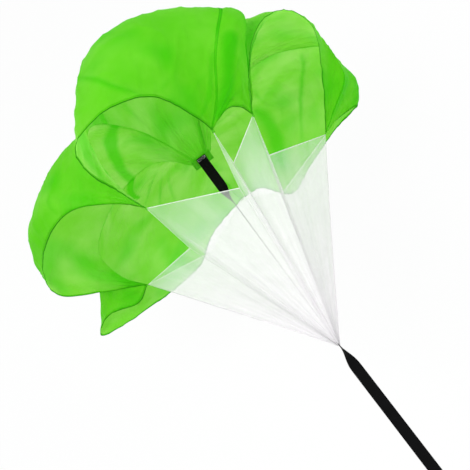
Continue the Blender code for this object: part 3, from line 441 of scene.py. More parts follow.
def make_world():
    world = bpy.data.worlds.new("studio")
    bpy.context.scene.world = world
    world.use_nodes = True
    tree = world.node_tree
    tree.nodes.clear()
    light = add(tree, "Background", {"Color": (0.96, 0.98, 1.0, 1), "Strength": WORLD_LIGHT})
    shown = add(tree, "Background", {"Color": (1, 1, 1, 1), "Strength": 1.0})
    mix = mixed(tree, seen_directly(tree), light, shown)
    add(tree, "OutputWorld", {"Surface": mix.outputs[0]})


def make_floor():
    bm = bmesh.new()
    bmesh.ops.create_circle(bm, cap_ends=True, segments=96, radius=FLOOR_RADIUS)
    mesh = bpy.data.meshes.new("floor")
    bm.to_mesh(mesh)
    bm.free()
    floor = bpy.data.objects.new("floor", mesh)
    floor.location = (0, MOUTH_Y / 2, CAD_BOX[0].z - FLOOR_DROP)
    bpy.context.scene.collection.objects.link(floor)
    material, tree = new_tree("floor")
    grain = add(tree, "TexNoise", {"Scale": 0.6, "Detail": 3.0})
    tone = ranged(tree, grain.outputs[0], (0.86, 0.90))
    matt = add(tree, "BsdfDiffuse", {"Color": grey_of(tree, tone)})
    white = add(tree, "Emission", {"Color": (1, 1, 1, 1), "Strength": 1.0})
    share = times(tree, seen_directly(tree), FLOOR_WHITE_SHARE)
    mesh.materials.append(finished(material, mixed(tree, share, matt, white)))


# Materials

def dashes(tree, distance, places, run):
    """Mask of stitch lines at these distances, broken into dashes along run."""
    pitch = maths(tree, "FRACT", times(tree, run, 1 / STITCH_PITCH))
    dash = maths(tree, "LESS_THAN", pitch, STITCH_SHARE)
    lines = None
    for place in places:
        near = maths(tree, "ABSOLUTE", minus(tree, distance, place))
        line = maths(tree, "LESS_THAN", near, STITCH_HALF)
        lines = line if lines is None else maths(tree, "MAXIMUM", lines, line)
    return times(tree, lines, dash)


def make_nylon(name, places, edge, edge_shade_depth, passing, open_share=0.0):
    """Thin coated nylon: stitch lines at these places from its edge, painted fold shade along its
    edge of this width and depth, painted deeper shade where it lies double and in random zones,
    and the shares of light that it passes and that finds it open."""
    material, tree = new_tree(name)
    uv = add(tree, "TexCoord").outputs["UV"]
    from_edge = stored(tree, "from_edge")
    # Painted deeper shade, as of light through doubled cloth: in random zones and where the mesh
    # says the cloth lies double
    random_deep_shade = ranged(tree, noise_value(tree, uv, 5.0, 1.5), (0.0, 0.60), (0.50, 0.64))
    doubled_shade = maths(tree, "MAXIMUM", stored(tree, "doubled_shade"), random_deep_shade)
    broad = noise_value(tree, uv, 6.0, 3.0)
    fine = noise_value(tree, uv, 140.0, 4.0, 0.6)
    warp, weft = (add(tree, "TexWave", {"Vector": uv, "Scale": 560.0}, bands_direction=way)
                  for way in "XY")
    weave = times(tree, warp.outputs["Fac"], weft.outputs["Fac"])
    stitches = dashes(tree, from_edge, places, add(tree, "SeparateXYZ", {0: uv}).outputs[0])
    tone = plus(tree, times(tree, broad, 0.75), times(tree, weave, 0.25))
    # Painted fold shade along the edge, joined with the dark stitch dashes
    painted_edge_shade = ranged(tree, from_edge, (1.0, 0.0), (edge * 0.5, edge * 1.2))
    edge_shade_and_stitches = maths(tree, "MAXIMUM", times(tree, painted_edge_shade, edge_shade_depth), times(tree, stitches, 0.5))
    # Both colours take the painted deeper shade, then the hem's painted fold shade and stitches
    seen, passed = (
        blended(tree, edge_shade_and_stitches, blended(tree, doubled_shade, ramp(tree, tone, *stops), (*doubled_shade_colour, 1)),
                (*hem, 1))
        for stops, doubled_shade_colour, hem in ((NYLON_BODY, DOUBLED_SHADE_BODY, HEM_SHADE_AND_STITCH_BODY),
                                  (NYLON_GLOW, DOUBLED_SHADE_GLOW, HEM_SHADE_AND_STITCH_GLOW)))
    height = plus(tree, times(tree, weave, 0.12), times(tree, fine, 0.9))
    height = minus(tree, height, times(tree, stitches, 0.5))
    bump = bumped(tree, height, 0.35, 1.2 * MM)
    front = principled(tree, seen, ranged(tree, broad, (0.46, 0.62)),
                       {"Sheen Weight": 0.03, "Specular IOR Level": 0.06, "Normal": bump})
    through = add(tree, "BsdfTranslucent", {"Color": passed, "Normal": bump})
    cloth = mixed(tree, passing, front, through)
    if open_share:
        cloth = mixed(tree, open_share, cloth, add(tree, "BsdfTransparent"))
    return finished(material, cloth)


def make_tulle(name, cover):
    """White net: threads round small diamond holes, denser towards the gathered point, greyed with
    painted shade at random and along its sewn fold.
    """
    material, tree = new_tree(name)
    uv = add(tree, "TexCoord").outputs["UV"]
    turned = add(tree, "Mapping", {"Vector": uv, "Rotation": (0, 0, radians(45))})
    holes = add(tree, "TexVoronoi", {"Vector": turned.outputs[0], "Scale": 520.0,
                                     "Randomness": 0.18},
                voronoi_dimensions="2D", feature="DISTANCE_TO_EDGE")
    thread = ranged(tree, holes.outputs["Distance"], (1.0, 0.0), (0.10, 0.30))
    broad = noise_value(tree, uv, 7.0, 3.0)
    across, along = add(tree, "SeparateXYZ", {0: uv}).outputs[:2]
    fan = maths(tree, "DIVIDE", across, plus(tree, along, 0.08))
    rays = add(tree, "CombineXYZ", {0: fan, 1: times(tree, along, 0.05)})
    streaks = noise_value(tree, rays.outputs[0], 8.0, 4.0)
    sewn = ranged(tree, stored(tree, "from_fold"), (1.0, 0.0), (0.8 * MM, 2.2 * MM))
    solid = plus(tree, times(tree, thread, 0.42), cover - 0.22)
    for value, strength in ((broad, 0.20), (streaks, 0.50)):
        solid = plus(tree, solid, times(tree, minus(tree, value, 0.5), strength))
    gathered = ranged(tree, stored(tree, "from_edge"), (-0.30, 0.18), (0.0, 0.36))
    solid = maths(tree, "MAXIMUM", plus(tree, solid, gathered), times(tree, sewn, 0.92))
    solid = maths(tree, "MINIMUM", solid, 0.97)
    # Painted shade: the net's white greys at random, and darker along its sewn fold
    tone = ranged(tree, minus(tree, broad, times(tree, sewn, 0.9)), (0.50, 0.97), (-0.6, 0.5))
    front = principled(tree, grey_of(tree, tone, 0.965), 0.75,
                       {"Sheen Weight": 0.1, "Specular IOR Level": 0.15,
                        "Normal": bumped(tree, thread, 0.4, 0.2 * MM)})
    through = add(tree, "BsdfTranslucent", {"Color": (0.97, 0.94, 0.97, 1)})
    cloth = mixed(tree, 0.45, front, through)
    return finished(material, mixed(tree, solid, add(tree, "BsdfTransparent"), cloth))


def make_webbing_material():
    """Black woven webbing: chevron ribs over lengthwise cords, slightly fuzzy and worn."""
    material, tree = new_tree("woven webbing")
    uv = add(tree, "TexCoord").outputs["UV"]
    across, along = add(tree, "SeparateXYZ", {0: uv}).outputs[:2]
    side = maths(tree, "ABSOLUTE", across)
    slant = plus(tree, along, maths(tree, "PINGPONG", side, 2.5 * MM))
    ribs = maths(tree, "SINE", times(tree, slant, 2 * pi / (1.3 * MM)))
    cords = maths(tree, "SINE", times(tree, side, 2 * pi / (1.0 * MM)))
    weave = plus(tree, times(tree, ribs, 0.30), times(tree, cords, 0.20))
    fuzz = noise_value(tree, uv, 900.0, 2.0)
    wear = times(tree, noise_value(tree, uv, 40.0, 4.0), fuzz)
    colour = ramp(tree, plus(tree, times(tree, weave, 0.35), wear),
                  (0.0, (0.002, 0.002, 0.002)), (0.75, (0.005, 0.005, 0.006)))
    return finished(material, principled(
        tree, colour, ranged(tree, fuzz, (0.62, 0.88)),
        {"Sheen Weight": 0.005, "Specular IOR Level": 0.04,
         "Normal": bumped(tree, weave, 0.55, 0.35 * MM)}))


def make_thread(name, colour):
    material, tree = new_tree(name)
    twist = add(tree, "TexWave", {"Scale": 300.0, "Distortion": 2.0},
                bands_direction="DIAGONAL")
    pale = tuple(min(1.0, value * 1.5 + 0.01) for value in colour)
    tone = blended(tree, twist.outputs["Fac"], (*colour, 1), (*pale, 1))
    return finished(material, principled(tree, tone, 0.6, {"Sheen Weight": 0.3}))


def make_steel():
    """Nickel-plated steel: drawn along its length, with fine scratches and dull spots."""
    material, tree = new_tree("plated steel")
    place = add(tree, "TexCoord").outputs["Object"]
    spots = noise_value(tree, place, 90.0, 5.0)
    long = add(tree, "Mapping", {"Vector": place, "Scale": (900.0, 60.0, 900.0)})
    lines = noise_value(tree, long.outputs[0], 1.0, 3.0)
    tone = ramp(tree, spots, (0.3, (0.28, 0.28, 0.29)), (0.65, (0.44, 0.44, 0.45)))
    worn = plus(tree, times(tree, spots, 0.6), times(tree, lines, 0.4))
    return finished(material, principled(
        tree, tone, ranged(tree, worn, (0.16, 0.38), (0.3, 0.7)),
        {"Metallic": 1.0, "Normal": bumped(tree, lines, 0.12, 0.1 * MM)}))


def make_plastic():
    """Black moulded plastic with a fine eggshell grain and slightly worn, greyer spots."""
    material, tree = new_tree("moulded plastic")
    place = add(tree, "TexCoord").outputs["Object"]
    grain = noise_value(tree, place, 1600.0, 2.0)
    broad = noise_value(tree, place, 70.0, 4.0)
    tone = ramp(tree, broad, (0.35, (0.012, 0.012, 0.013)), (0.75, (0.030, 0.030, 0.032)))
    return finished(material, principled(
        tree, tone, ranged(tree, broad, (0.34, 0.56)),
        {"Specular IOR Level": 0.3, "Normal": bumped(tree, grain, 0.15, 0.08 * MM)}))


# Curves and grids

def unit(vectors):
    length = np.linalg.norm(vectors, axis=-1, keepdims=True)
    return vectors / np.maximum(length, 1e-12)


def smooth(x):
    x = np.clip(x, 0.0, 1.0)
    return x * x * (3 - 2 * x)


def bent(values, power):
    """Values from -1 to 1 raised to a power, each with its own sign."""
    return np.sign(values) * np.abs(values) ** power


def spline_points(points, shares):
    """Centripetal Catmull-Rom curve through the points, at shares of its chord length."""
    p = np.array(points, float)
    knots = np.concatenate([[0], np.cumsum(np.sqrt(np.linalg.norm(np.diff(p, axis=0), axis=1)))])
    place = np.asarray(shares, float) * knots[-1]
    i = np.clip(np.searchsorted(knots, place) - 1, 0, len(p) - 2)
    before = np.concatenate([[2 * p[0] - p[1]], p[:-2]])
    after = np.concatenate([p[2:], [2 * p[-1] - p[-2]]])
    early = np.concatenate([[2 * knots[0] - knots[1]], knots[:-2]])
    late = np.concatenate([knots[2:], [2 * knots[-1] - knots[-2]]])
    p0, p1, p2, p3 = before[i], p[i], p[i + 1], after[i]
    t0, t1, t2, t3 = (t[:, None] for t in (early[i], knots[i], knots[i + 1], late[i]))
    span = t2 - t1
    slope1 = span * ((p1 - p0) / (t1 - t0) - (p2 - p0) / (t2 - t0) + (p2 - p1) / span)
    slope2 = span * ((p2 - p1) / span - (p3 - p1) / (t3 - t1) + (p3 - p2) / (t3 - t2))
    x = (place[:, None] - t1) / span
    return (p1 * (2 * x ** 3 - 3 * x ** 2 + 1) + slope1 * (x ** 3 - 2 * x ** 2 + x)
            + p2 * (3 * x ** 2 - 2 * x ** 3) + slope2 * (x ** 3 - x ** 2))


def canopy_place(shares):
    right, up, back = shares
    return np.array((right * LOBE_REACH, MOUTH_Y + back * LOBE_REACH, up * LOBE_REACH))


def crown_centre():
    right, up = CROWN_AXIS_SHARE
    return np.array((right * LOBE_REACH, CROWN_Y, up * LOBE_REACH))


def crown_edge(shares):
    outward = canopy_place(shares) - crown_centre()
    outward[1] = 0.0
    return crown_centre() + unit(outward) * CROWN_RING_RADIUS


def next_tip(name):
    return TIP_ORDER[(TIP_ORDER.index(name) + 1) % len(TIP_ORDER)]


def line_of(start, table, name, end):
    return [start] + [canopy_place(shares) for shares in table[name]] + [end]


def seam_line(name):
    return line_of(canopy_place(TIP_SHARES[name]), SEAM_SHARES, name,
                   crown_edge(SEAM_SHARES[name][-1]))


def hem_line(name):
    return line_of(canopy_place(TIP_SHARES[name]), HEM_SHARES, name,
                   canopy_place(TIP_SHARES[next_tip(name)]))


def gore_grid(name, across, along):
    """Points of a gore: rows from hem to crown, columns from its seam to the next."""
    first = spline_points(seam_line(name), along)[:, None]
    second = spline_points(seam_line(next_tip(name)), along)[:, None]
    hem = hem_line(name)
    middle = spline_points(hem, [0.5])[0]
    crest = spline_points(line_of(middle, CREST_SHARES, name,
                                  crown_edge(CREST_SHARES[name][-1])), along)[:, None]
    turn = EVEN_TURN_SHARE * across + (1 - EVEN_TURN_SHARE) * (1 - np.cos(pi * across)) / 2
    turn = turn[None, :, None]
    swell = np.sin(pi * across)[None, :, None]
    point = first + (second - first) * turn + swell * (crest - (first + second) / 2)
    chord = hem[0] + (hem[-1] - hem[0]) * turn + swell * (middle - (hem[0] + hem[-1]) / 2)
    fade = (np.clip(1 - along / HEM_FADE_SHARE, 0, None) ** 2)[:, None, None]
    return point + fade * (spline_points(hem, across)[None] - chord)


def grid_normals(grid):
    """Normals of a grid of points, away from the canopy's inside."""
    return unit(np.cross(np.gradient(grid, axis=1), np.gradient(grid, axis=0)))


def run_lengths(grid, axis):
    """Length run from the first row or column to each point."""
    steps = np.linalg.norm(np.diff(grid, axis=axis), axis=2)
    start = np.zeros_like(np.take(steps, [0], axis=axis))
    return np.concatenate([start, np.cumsum(steps, axis=axis)], axis=axis)


def at_length(grid, runs, length):
    """Points of each column at a length run down it, one for all columns or one each."""
    lengths = np.broadcast_to(length, grid.shape[1])
    return np.array([[np.interp(lengths[j], runs[:, j], grid[:, j, k]) for k in range(3)]
                     for j in range(grid.shape[1])])


def noise_of(points, scale, shift):
    """Smooth noise of about -1 to 1 at each point."""
    flat = points.reshape(-1, 3) * scale + shift
    values = [noise.noise(Vector(point)) for point in flat]
    return np.array(values).reshape(points.shape[:-1])


def flat_noise(first, second, scale, shift):
    """Smooth noise over two values for each point."""
    first, second = np.broadcast_arrays(first, second)
    return noise_of(np.stack([first, second, np.zeros_like(first)], axis=-1), scale, shift)


def placed(name, mesh, material, body):
    """Smooth object of a mesh that rides on a body."""
    mesh.shade_smooth()
    mesh.materials.append(material)
    obj = bpy.data.objects.new(name, mesh)
    bpy.context.scene.collection.objects.link(obj)
    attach(obj, body)
    return obj


def store(obj, name, values):
    """Keep a value for each point of a mesh, for its material."""
    attribute = obj.data.attributes.new(name, "FLOAT", "POINT")
    attribute.data.foreach_set("value", values.astype(np.float32).ravel())


def grid_object(name, grid, u, v, edge, material, body):
    """Smooth surface through a grid, with its cloth coordinates in metres."""
    rows, columns = grid.shape[:2]
    index = np.arange(rows * columns).reshape(rows, columns)
    quads = np.stack([index[:-1, :-1], index[:-1, 1:], index[1:, 1:], index[1:, :-1]], axis=-1)
    mesh = bpy.data.meshes.new(name)
    mesh.from_pydata(grid.reshape(-1, 3).tolist(), [], quads.reshape(-1, 4).tolist())
    layer = mesh.uv_layers.new(name="cloth")
    corners = np.zeros(len(mesh.loops), int)
    mesh.loops.foreach_get("vertex_index", corners)
    uv = np.stack([u.ravel(), v.ravel()], axis=-1)
    layer.data.foreach_set("uv", uv[corners].astype(np.float32).ravel())
    obj = placed(name, mesh, material, body)
    store(obj, "from_edge", edge)
    return obj


# Canopy

def tip_folds(near, height):
    """Folds that fan out from a net point: near is the run from the seam, height from the hem."""
    reach = np.hypot(near, height)
    fan = np.sin(np.arctan2(height, near) * 11)
    return fan * np.exp(-reach / TIP_FOLD_FADE) * smooth(reach / 0.05) * TIP_FOLD_HEIGHT


def share_places(grid, route, count):
    """Points of a grid along a route in shares of it, evenly spread over its legs."""
    route = np.array(route)
    rows, columns = grid.shape[0] - 1, grid.shape[1] - 1
    steps = np.linspace(0, len(route) - 1, count)
    across = np.interp(steps, np.arange(len(route)), route[:, 0]) * columns
    along = np.interp(steps, np.arange(len(route)), route[:, 1]) * rows
    i = np.clip(along.astype(int), 0, rows - 1)
    j = np.clip(across.astype(int), 0, columns - 1)
    y = (along - i)[:, None]
    x = (across - j)[:, None]
    return ((grid[i, j] * (1 - x) + grid[i, j + 1] * x) * (1 - y)
            + (grid[i + 1, j] * (1 - x) + grid[i + 1, j + 1] * x) * y)


def nearest_run(grid, route):
    """Distance of each grid point from a route, and how far along it, from 0 to 1."""
    places = share_places(grid, route, ROUTE_STEPS)
    gaps = np.linalg.norm(grid[:, :, None] - places[None, None], axis=3)
    return gaps.min(axis=2), gaps.argmin(axis=2) / (ROUTE_STEPS - 1)


def creases_of(name, grid):
    """Height of the creases and folded bands of a gore, and how far its cloth lies double, the
    mask of its painted deeper shade.
    """
    lift = np.zeros(grid.shape[:2])
    doubled_shade = np.zeros(grid.shape[:2])
    for route, width, height, double_shade in CREASES[name]:
        gap, run = nearest_run(grid, route)
        ends = np.sin(pi * np.clip(run, 0.02, 0.98)) ** 0.6
        lift += height * MM * np.exp(-gap / (width * MM)) * ends
        doubled_shade = np.maximum(doubled_shade, double_shade * np.exp(-(gap / (width * MM)) ** 2) * ends)
    for route, half, height, double_shade in FOLDED_BANDS[name]:
        gap, run = nearest_run(grid, route)
        waver = noise_of(grid, 14.0, np.array((5.0, 2.0, 9.0))) * 0.35
        flat = smooth((1.15 + waver - gap / (half * MM)) / max(0.45, half / SOFT_BAND_HALF))
        lift += height * MM * flat
        doubled_shade = np.maximum(doubled_shade, double_shade * flat)
    return lift, doubled_shade


def gore_relief(name, grid, from_left, from_right, from_hem):
    """Height of a gore's wrinkles, folds and creases, and how far its cloth lies double, the mask
    of its painted deeper shade.
    """
    from_seam = np.minimum(from_left, from_right)
    to_crown = from_hem[-1:] - from_hem
    inside = smooth(from_seam / 0.03) * smooth(to_crown / 0.05)
    at_seams = smooth(from_seam / 0.012)
    shift = np.array((3.1, 7.7, 1.3)) * (TIP_ORDER.index(name) + 1)
    wrinkles = (noise_of(grid, 7.0, shift) * WRINKLE_HEIGHT
                + noise_of(grid, 23.0, shift) * SMALL_WRINKLE_HEIGHT)
    lift = wrinkles * inside * smooth(from_hem / 0.02 + 0.35)
    lift += (tip_folds(from_left, from_hem) + tip_folds(from_right, from_hem)) * inside
    gather = np.sin(np.linspace(0, 1, grid.shape[1]) * 7 * pi) * np.exp(-to_crown / GATHER_FADE)
    lift += gather * smooth(to_crown / 0.03) * GATHER_HEIGHT
    creased, doubled_shade = creases_of(name, grid)
    lift += creased * at_seams
    puckers = np.sin(from_hem * 2 * pi / PUCKER_PITCH + np.sin(from_hem * 2 * pi / 0.11) * 2.0)
    by_seam = np.exp(-from_seam / PUCKER_FADE) * smooth(to_crown / 0.06)
    lift += puckers * by_seam * at_seams * PUCKER_HEIGHT
    streak = flat_noise((from_left + from_hem) * 22.0, (from_left - from_hem) * 5.0, 1.0, shift)
    lift += (1 - np.abs(streak) * 2.4).clip(0, 1) ** 3 * inside * STREAK_HEIGHT
    return lift, doubled_shade


def row_lengths(rows, width, columns):
    """How far across a strip each point of its rows lies."""
    return np.outer([row[0] for row in rows], np.ones(columns)) * width


def with_fold(values):
    """Values of a gore's points, led by its first row's for the fold of its hem."""
    return np.concatenate([np.repeat(values[:1], len(HEM_FOLD), axis=0), values])


def make_seam(name, grid, normals, from_right, material):
    """Felled seam along a gore's far side, as a raised strip over it."""
    runs = from_right[:, ::-1].T
    turned = grid[:, ::-1].transpose(1, 0, 2)
    turned_normals = normals[:, ::-1].transpose(1, 0, 2)
    reach = np.minimum(SEAM_WIDTH, runs[-1] * 0.4)
    strip = np.array([at_length(turned, runs, reach * share)
                      + unit(at_length(turned_normals, runs, reach * share)) * rise * LAYER
                      for share, rise in SEAM_ROWS])
    edge = row_lengths(SEAM_ROWS, SEAM_WIDTH, reach.size)
    return grid_object("seam_" + next_tip(name), strip, run_lengths(strip, 1), edge, edge,
                       material, "chute")


def make_gore(name, nylon, seam_nylon):
    """One lobe of the canopy with its folded hem, and the felled seam along its far side."""
    across = np.linspace(0, 1, GORE_COLUMNS[name] + 1)
    grid = gore_grid(name, across, np.linspace(0, 1, GORE_ROWS + 1))
    from_left = run_lengths(grid, 1)
    from_right = from_left[:, -1:] - from_left
    from_hem = run_lengths(grid, 0)
    lift, doubled_shade = gore_relief(name, grid, from_left, from_right, from_hem)
    grid = grid + grid_normals(grid) * lift[:, :, None]
    normals = grid_normals(grid)
    fold = [at_length(grid, from_hem, HEM_WIDTH * share) + normals[0] * rise * LAYER
            for share, rise in HEM_FOLD]
    in_fold = row_lengths(HEM_FOLD, HEM_WIDTH, across.size)
    middle = across.size // 2
    u = from_left - from_left[:, [middle]]
    v = np.concatenate([-in_fold, from_hem[:, [middle]] + np.zeros_like(u)])
    cloth = grid_object("cloth_" + name, np.concatenate([fold, grid]), with_fold(u), v,
                        np.concatenate([in_fold, from_hem]), nylon, "chute")
    # Mask of painted deeper shade where the cloth lies double, along its folds and creases
    store(cloth, "doubled_shade", with_fold(doubled_shade))
    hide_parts("gore_" + name)
    seam = make_seam(name, grid, normals, from_right, seam_nylon)


# Net

def ring_place(turn):
    """Points where the nets gather, close round the tow strap's end."""
    half_up = WEB_WIDTH / 2 + NET_RING_GAP
    half_across = WEB_THICKNESS / 2 + NET_RING_GAP
    return np.stack([half_across * bent(np.sin(turn), 1 / 3), np.full_like(turn, APEX_Y),
                     half_up * bent(np.cos(turn), 1 / 3)], axis=-1)


def net_grid(name, across, along):
    """Points of a net panel: rows from the gathered point to the rim, columns fold to fold."""
    place = TIP_ORDER.index(name)
    tip = canopy_place(TIP_SHARES[name]) - np.array((0, NET_TIP_LEAD, 0))
    before = canopy_place(NOTCH_SHARES[TIP_ORDER[place - 1]])
    after = canopy_place(NOTCH_SHARES[name])
    sector = 2 * pi / len(TIP_ORDER)
    start = ring_place((place - 1 + across / 2) * sector)
    notch = np.where((across < 0)[:, None], before, after)
    end = tip + (notch - tip) * np.abs(across)[:, None]
    return start[None] + (end - start)[None] * along[:, None, None]


def make_net(name, tulle, tape):
    """One kite of net with the narrow tape on its free edges and its sewn fold."""
    across = np.linspace(-1, 1, 1 + (NARROW_NET_COLUMNS if name in NARROW_NETS
                                     else NET_COLUMNS))
    along = np.linspace(0, 1, NET_ROWS + 1)
    grid = net_grid(name, across, along)
    normals = grid_normals(grid)
    shift = np.array((1.9, 4.3, 8.1)) * (TIP_ORDER.index(name) + 1)
    down = along[:, None]
    lift = (flat_noise(across * 3.0, down * across, 1.6, shift) * NET_RIDGE_HEIGHT
            + flat_noise(across * 9.0, down * 1.5, 1.0, shift) * NET_FINE_HEIGHT
            + noise_of(grid, 18.0, shift) * SMALL_WRINKLE_HEIGHT) * down * (1 - down) * 4
    lift = lift * smooth((1 - np.abs(across)) / 0.12)
    grid = grid + normals * lift[:, :, None]
    u = run_lengths(grid, 1)
    middle = across.size // 2
    u = u - u[:, [middle]]
    v = run_lengths(grid, 0)[:, [middle]] + np.zeros_like(u)
    net = grid_object("tulle_" + name, grid, u, v, v[-1:] - v, tulle, "chute")
    store(net, "from_fold", np.minimum(u - u[:, :1], u[:, -1:] - u))
    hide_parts("net_" + name)
    runs = run_lengths(grid[::-1], 0)
    rows = np.array([at_length(grid[::-1], runs, TAPE_WIDTH * share) - normals[-1] * rise * LAYER
                     for share, rise in TAPE_ROWS])
    tape_piece = grid_object("tape_" + name, rows, run_lengths(rows, 1), run_lengths(rows, 0),
                             np.zeros(rows.shape[:2]), tape, "chute")
    store(tape_piece, "from_fold", np.ones(rows.shape[:2]))


# Webbing

def webbing(name, path, widths, thickness, material, body):
    """Flat webbing with rounded edges along a path."""
    path = np.array(path, float)
    widths = np.array(widths, float)
    tangent = unit(np.gradient(path, axis=0))
    thick = unit(np.cross(tangent, widths))
    turn = np.linspace(0, 2 * pi, WEB_SIDES + 1)
    side = bent(np.cos(turn), 0.45)
    rise = bent(np.sin(turn), 0.8)
    half = np.linalg.norm(widths, axis=1)[:, None, None] / 2
    grid = (path[:, None] + unit(widths)[:, None] * half * side[None, :, None]
            + thick[:, None] * rise[None, :, None] * thickness / 2)
    run = run_lengths(path[:, None], 0) + np.zeros((len(path), turn.size))
    obj = grid_object(name, grid, half[:, :, 0] * side[None], run, np.zeros(run.shape),
                      material, body)
    mesh = bmesh.new()
    mesh.from_mesh(obj.data)
    mesh.verts.ensure_lookup_table()
    for row in (0, len(path) - 1):
        mesh.faces.new([mesh.verts[row * turn.size + i] for i in range(WEB_SIDES)])
    bmesh.ops.remove_doubles(mesh, verts=mesh.verts[:], dist=0.01 * MM)
    bmesh.ops.recalc_face_normals(mesh, faces=mesh.faces[:])
    mesh.to_mesh(obj.data)
    mesh.free()
    return obj


def turned_width(turn):
    """Width of a strap that has made this share of a quarter turn about the tow line."""
    angle = turn * pi / 2
    return np.array((cos(angle), 0, sin(angle))) * WEB_WIDTH


def strap_run(start, end, first_turn, last_turn, flat_share, turn_share):
    """Straight run of webbing that turns about the tow line near its start."""
    shares = np.linspace(0, 1, STRAP_STEPS)
    path = [start + (end - start) * share for share in shares]
    turns = first_turn + (last_turn - first_turn) * smooth((shares - flat_share) / turn_share)
    return path, [turned_width(turn) for turn in turns]


def make_centre_strap(material):
    crown = crown_centre()
    face = CROWN_Y - PATCH_THICKNESS - CLOTH_THICKNESS - 2 * CLEARANCE - WEB_THICKNESS / 2
    path = [np.array((crown[0], face, crown[2] + up))
            for up in np.linspace(STRAP_SEW_LENGTH, STRAP_BEND_RADIUS, BEND_STEPS)]
    for angle in np.linspace(0, pi / 2, BEND_STEPS)[1:]:
        path.append(np.array((crown[0], face - STRAP_BEND_RADIUS * (1 - cos(angle)),
                              crown[2] + STRAP_BEND_RADIUS * (1 - sin(angle)))))
    widths = [turned_width(0)] * len(path)
    run, turned = strap_run(path[-1], np.array((0, APEX_Y + CLEARANCE / 2, 0)), 0, 1,
                            CENTRE_FLAT_SHARE, CENTRE_TURN_SHARE)
    strap = webbing("strap_inside_net", path + run[1:], widths + turned[1:], WEB_THICKNESS,
                    material, "chute")
    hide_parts("centre_strap")
    return face


def wrap_angles():
    """Angles of the turn round a bar, from one run of the webbing to the other."""
    return np.linspace(WRAP_START, 2 * pi - WRAP_START, WRAP_STEPS)


def make_tow_strap(material):
    layer = (WEB_THICKNESS + CLEARANCE) / 2
    wrap = EYE_WIRE / 2 + CLEARANCE + WEB_THICKNESS / 2
    start = np.array((0, APEX_Y - CLEARANCE / 2, 0))
    end = np.array((0, EYE_FAR_Y + LOOP_TAIL, layer))
    path, widths = strap_run(start, end, 1, 0, 0, TOW_TURN_SHARE)
    for y in np.linspace(EYE_FAR_Y + LOOP_TAIL, EYE_FAR_Y + wrap * 4, 11)[1:]:
        path.append(np.array((0, y, layer)))
    for angle in wrap_angles():
        path.append(np.array((0, EYE_FAR_Y + wrap * cos(angle), wrap * sin(angle))))
    for y in np.linspace(EYE_FAR_Y + wrap * 4, EYE_FAR_Y + LOOP_TAIL, 10):
        path.append(np.array((0, y, -layer)))
    widths += [turned_width(0)] * (len(path) - len(widths))
    strap = webbing("strap_to_hook", path, widths, WEB_THICKNESS, material, "chute")
    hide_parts("tow_strap")


def belt_turn(bar_x, side):
    """Turn of the belt round a buckle bar, on one side of it."""
    wrap = BAR_RADIUS + CLEARANCE + BELT_THICKNESS / 2
    return [(bar_x + side * wrap * 4, FRONT_Y, 0),
            *((bar_x + side * wrap * cos(angle), BUCKLE_Y + wrap * sin(angle), 0)
              for angle in wrap_angles()),
            (bar_x + side * wrap * 4, FRONT_Y - LAYER_PITCH, 0)]


def filled_in(path, step):
    """The path with more points on its long straight stretches."""
    points = [np.array(path[0], float)]
    for end in path[1:]:
        end = np.array(end, float)
        start = points[-1]
        count = max(1, int(np.linalg.norm(end - start) / step))
        points += [start + (end - start) * i / count for i in range(1, count + 1)]
    return points


def make_belt(material):
    half = BELT_HALF_SPAN + BELT_THICKNESS / 2
    radius = BELT_CORNER_RADIUS
    back = BELT_THICKNESS / 2
    path = [(SOCKET_BAR_X + BELT_SEWN_TAIL, FRONT_Y - LAYER_PITCH, 0)]
    path += reversed(belt_turn(SOCKET_BAR_X, 1))
    for x, y, first in ((half - radius, FRONT_Y + radius, -pi / 2),
                        (half - radius, back - radius, 0.0),
                        (radius - half, back - radius, pi / 2),
                        (radius - half, FRONT_Y + radius, pi)):
        for angle in first + np.linspace(0, pi / 2, 25):
            path.append((x + radius * cos(angle), y + radius * sin(angle), 0))
    path += belt_turn(PLUG_BAR_X, -1)
    path.append((PLUG_BAR_X - BELT_TAIL, FRONT_Y - LAYER_PITCH, 0))
    path = filled_in(path, 6 * MM)
    widths = [(0, 0, BELT_WIDTH)] * len(path)
    belt = webbing("belt_band", path, widths, BELT_THICKNESS, material, "belt")
    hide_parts("belt_webbing")


def make_keeper(material):
    flat = BELT_THICKNESS + CLEARANCE + KEEPER_THICKNESS / 2
    wrap = RING_WIRE / 2 + CLEARANCE + KEEPER_THICKNESS / 2
    foot = wrap * 1.7
    path = [(-foot - KEEPER_SEW_LENGTH, flat, 0), (-foot, flat, 0)]
    for angle in np.linspace(pi, 0, WRAP_STEPS):
        path.append((wrap * cos(angle), BAR_Y + wrap * sin(angle), 0))
    path += [(foot, flat, 0), (foot + KEEPER_SEW_LENGTH, flat, 0)]
    path = filled_in(path, 3 * MM)
    keeper = webbing("ring_loop", path, [(0, 0, KEEPER_WIDTH)] * len(path),
                     KEEPER_THICKNESS, material, "belt")
    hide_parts("ring_keeper")
    return flat + KEEPER_THICKNESS / 2, foot


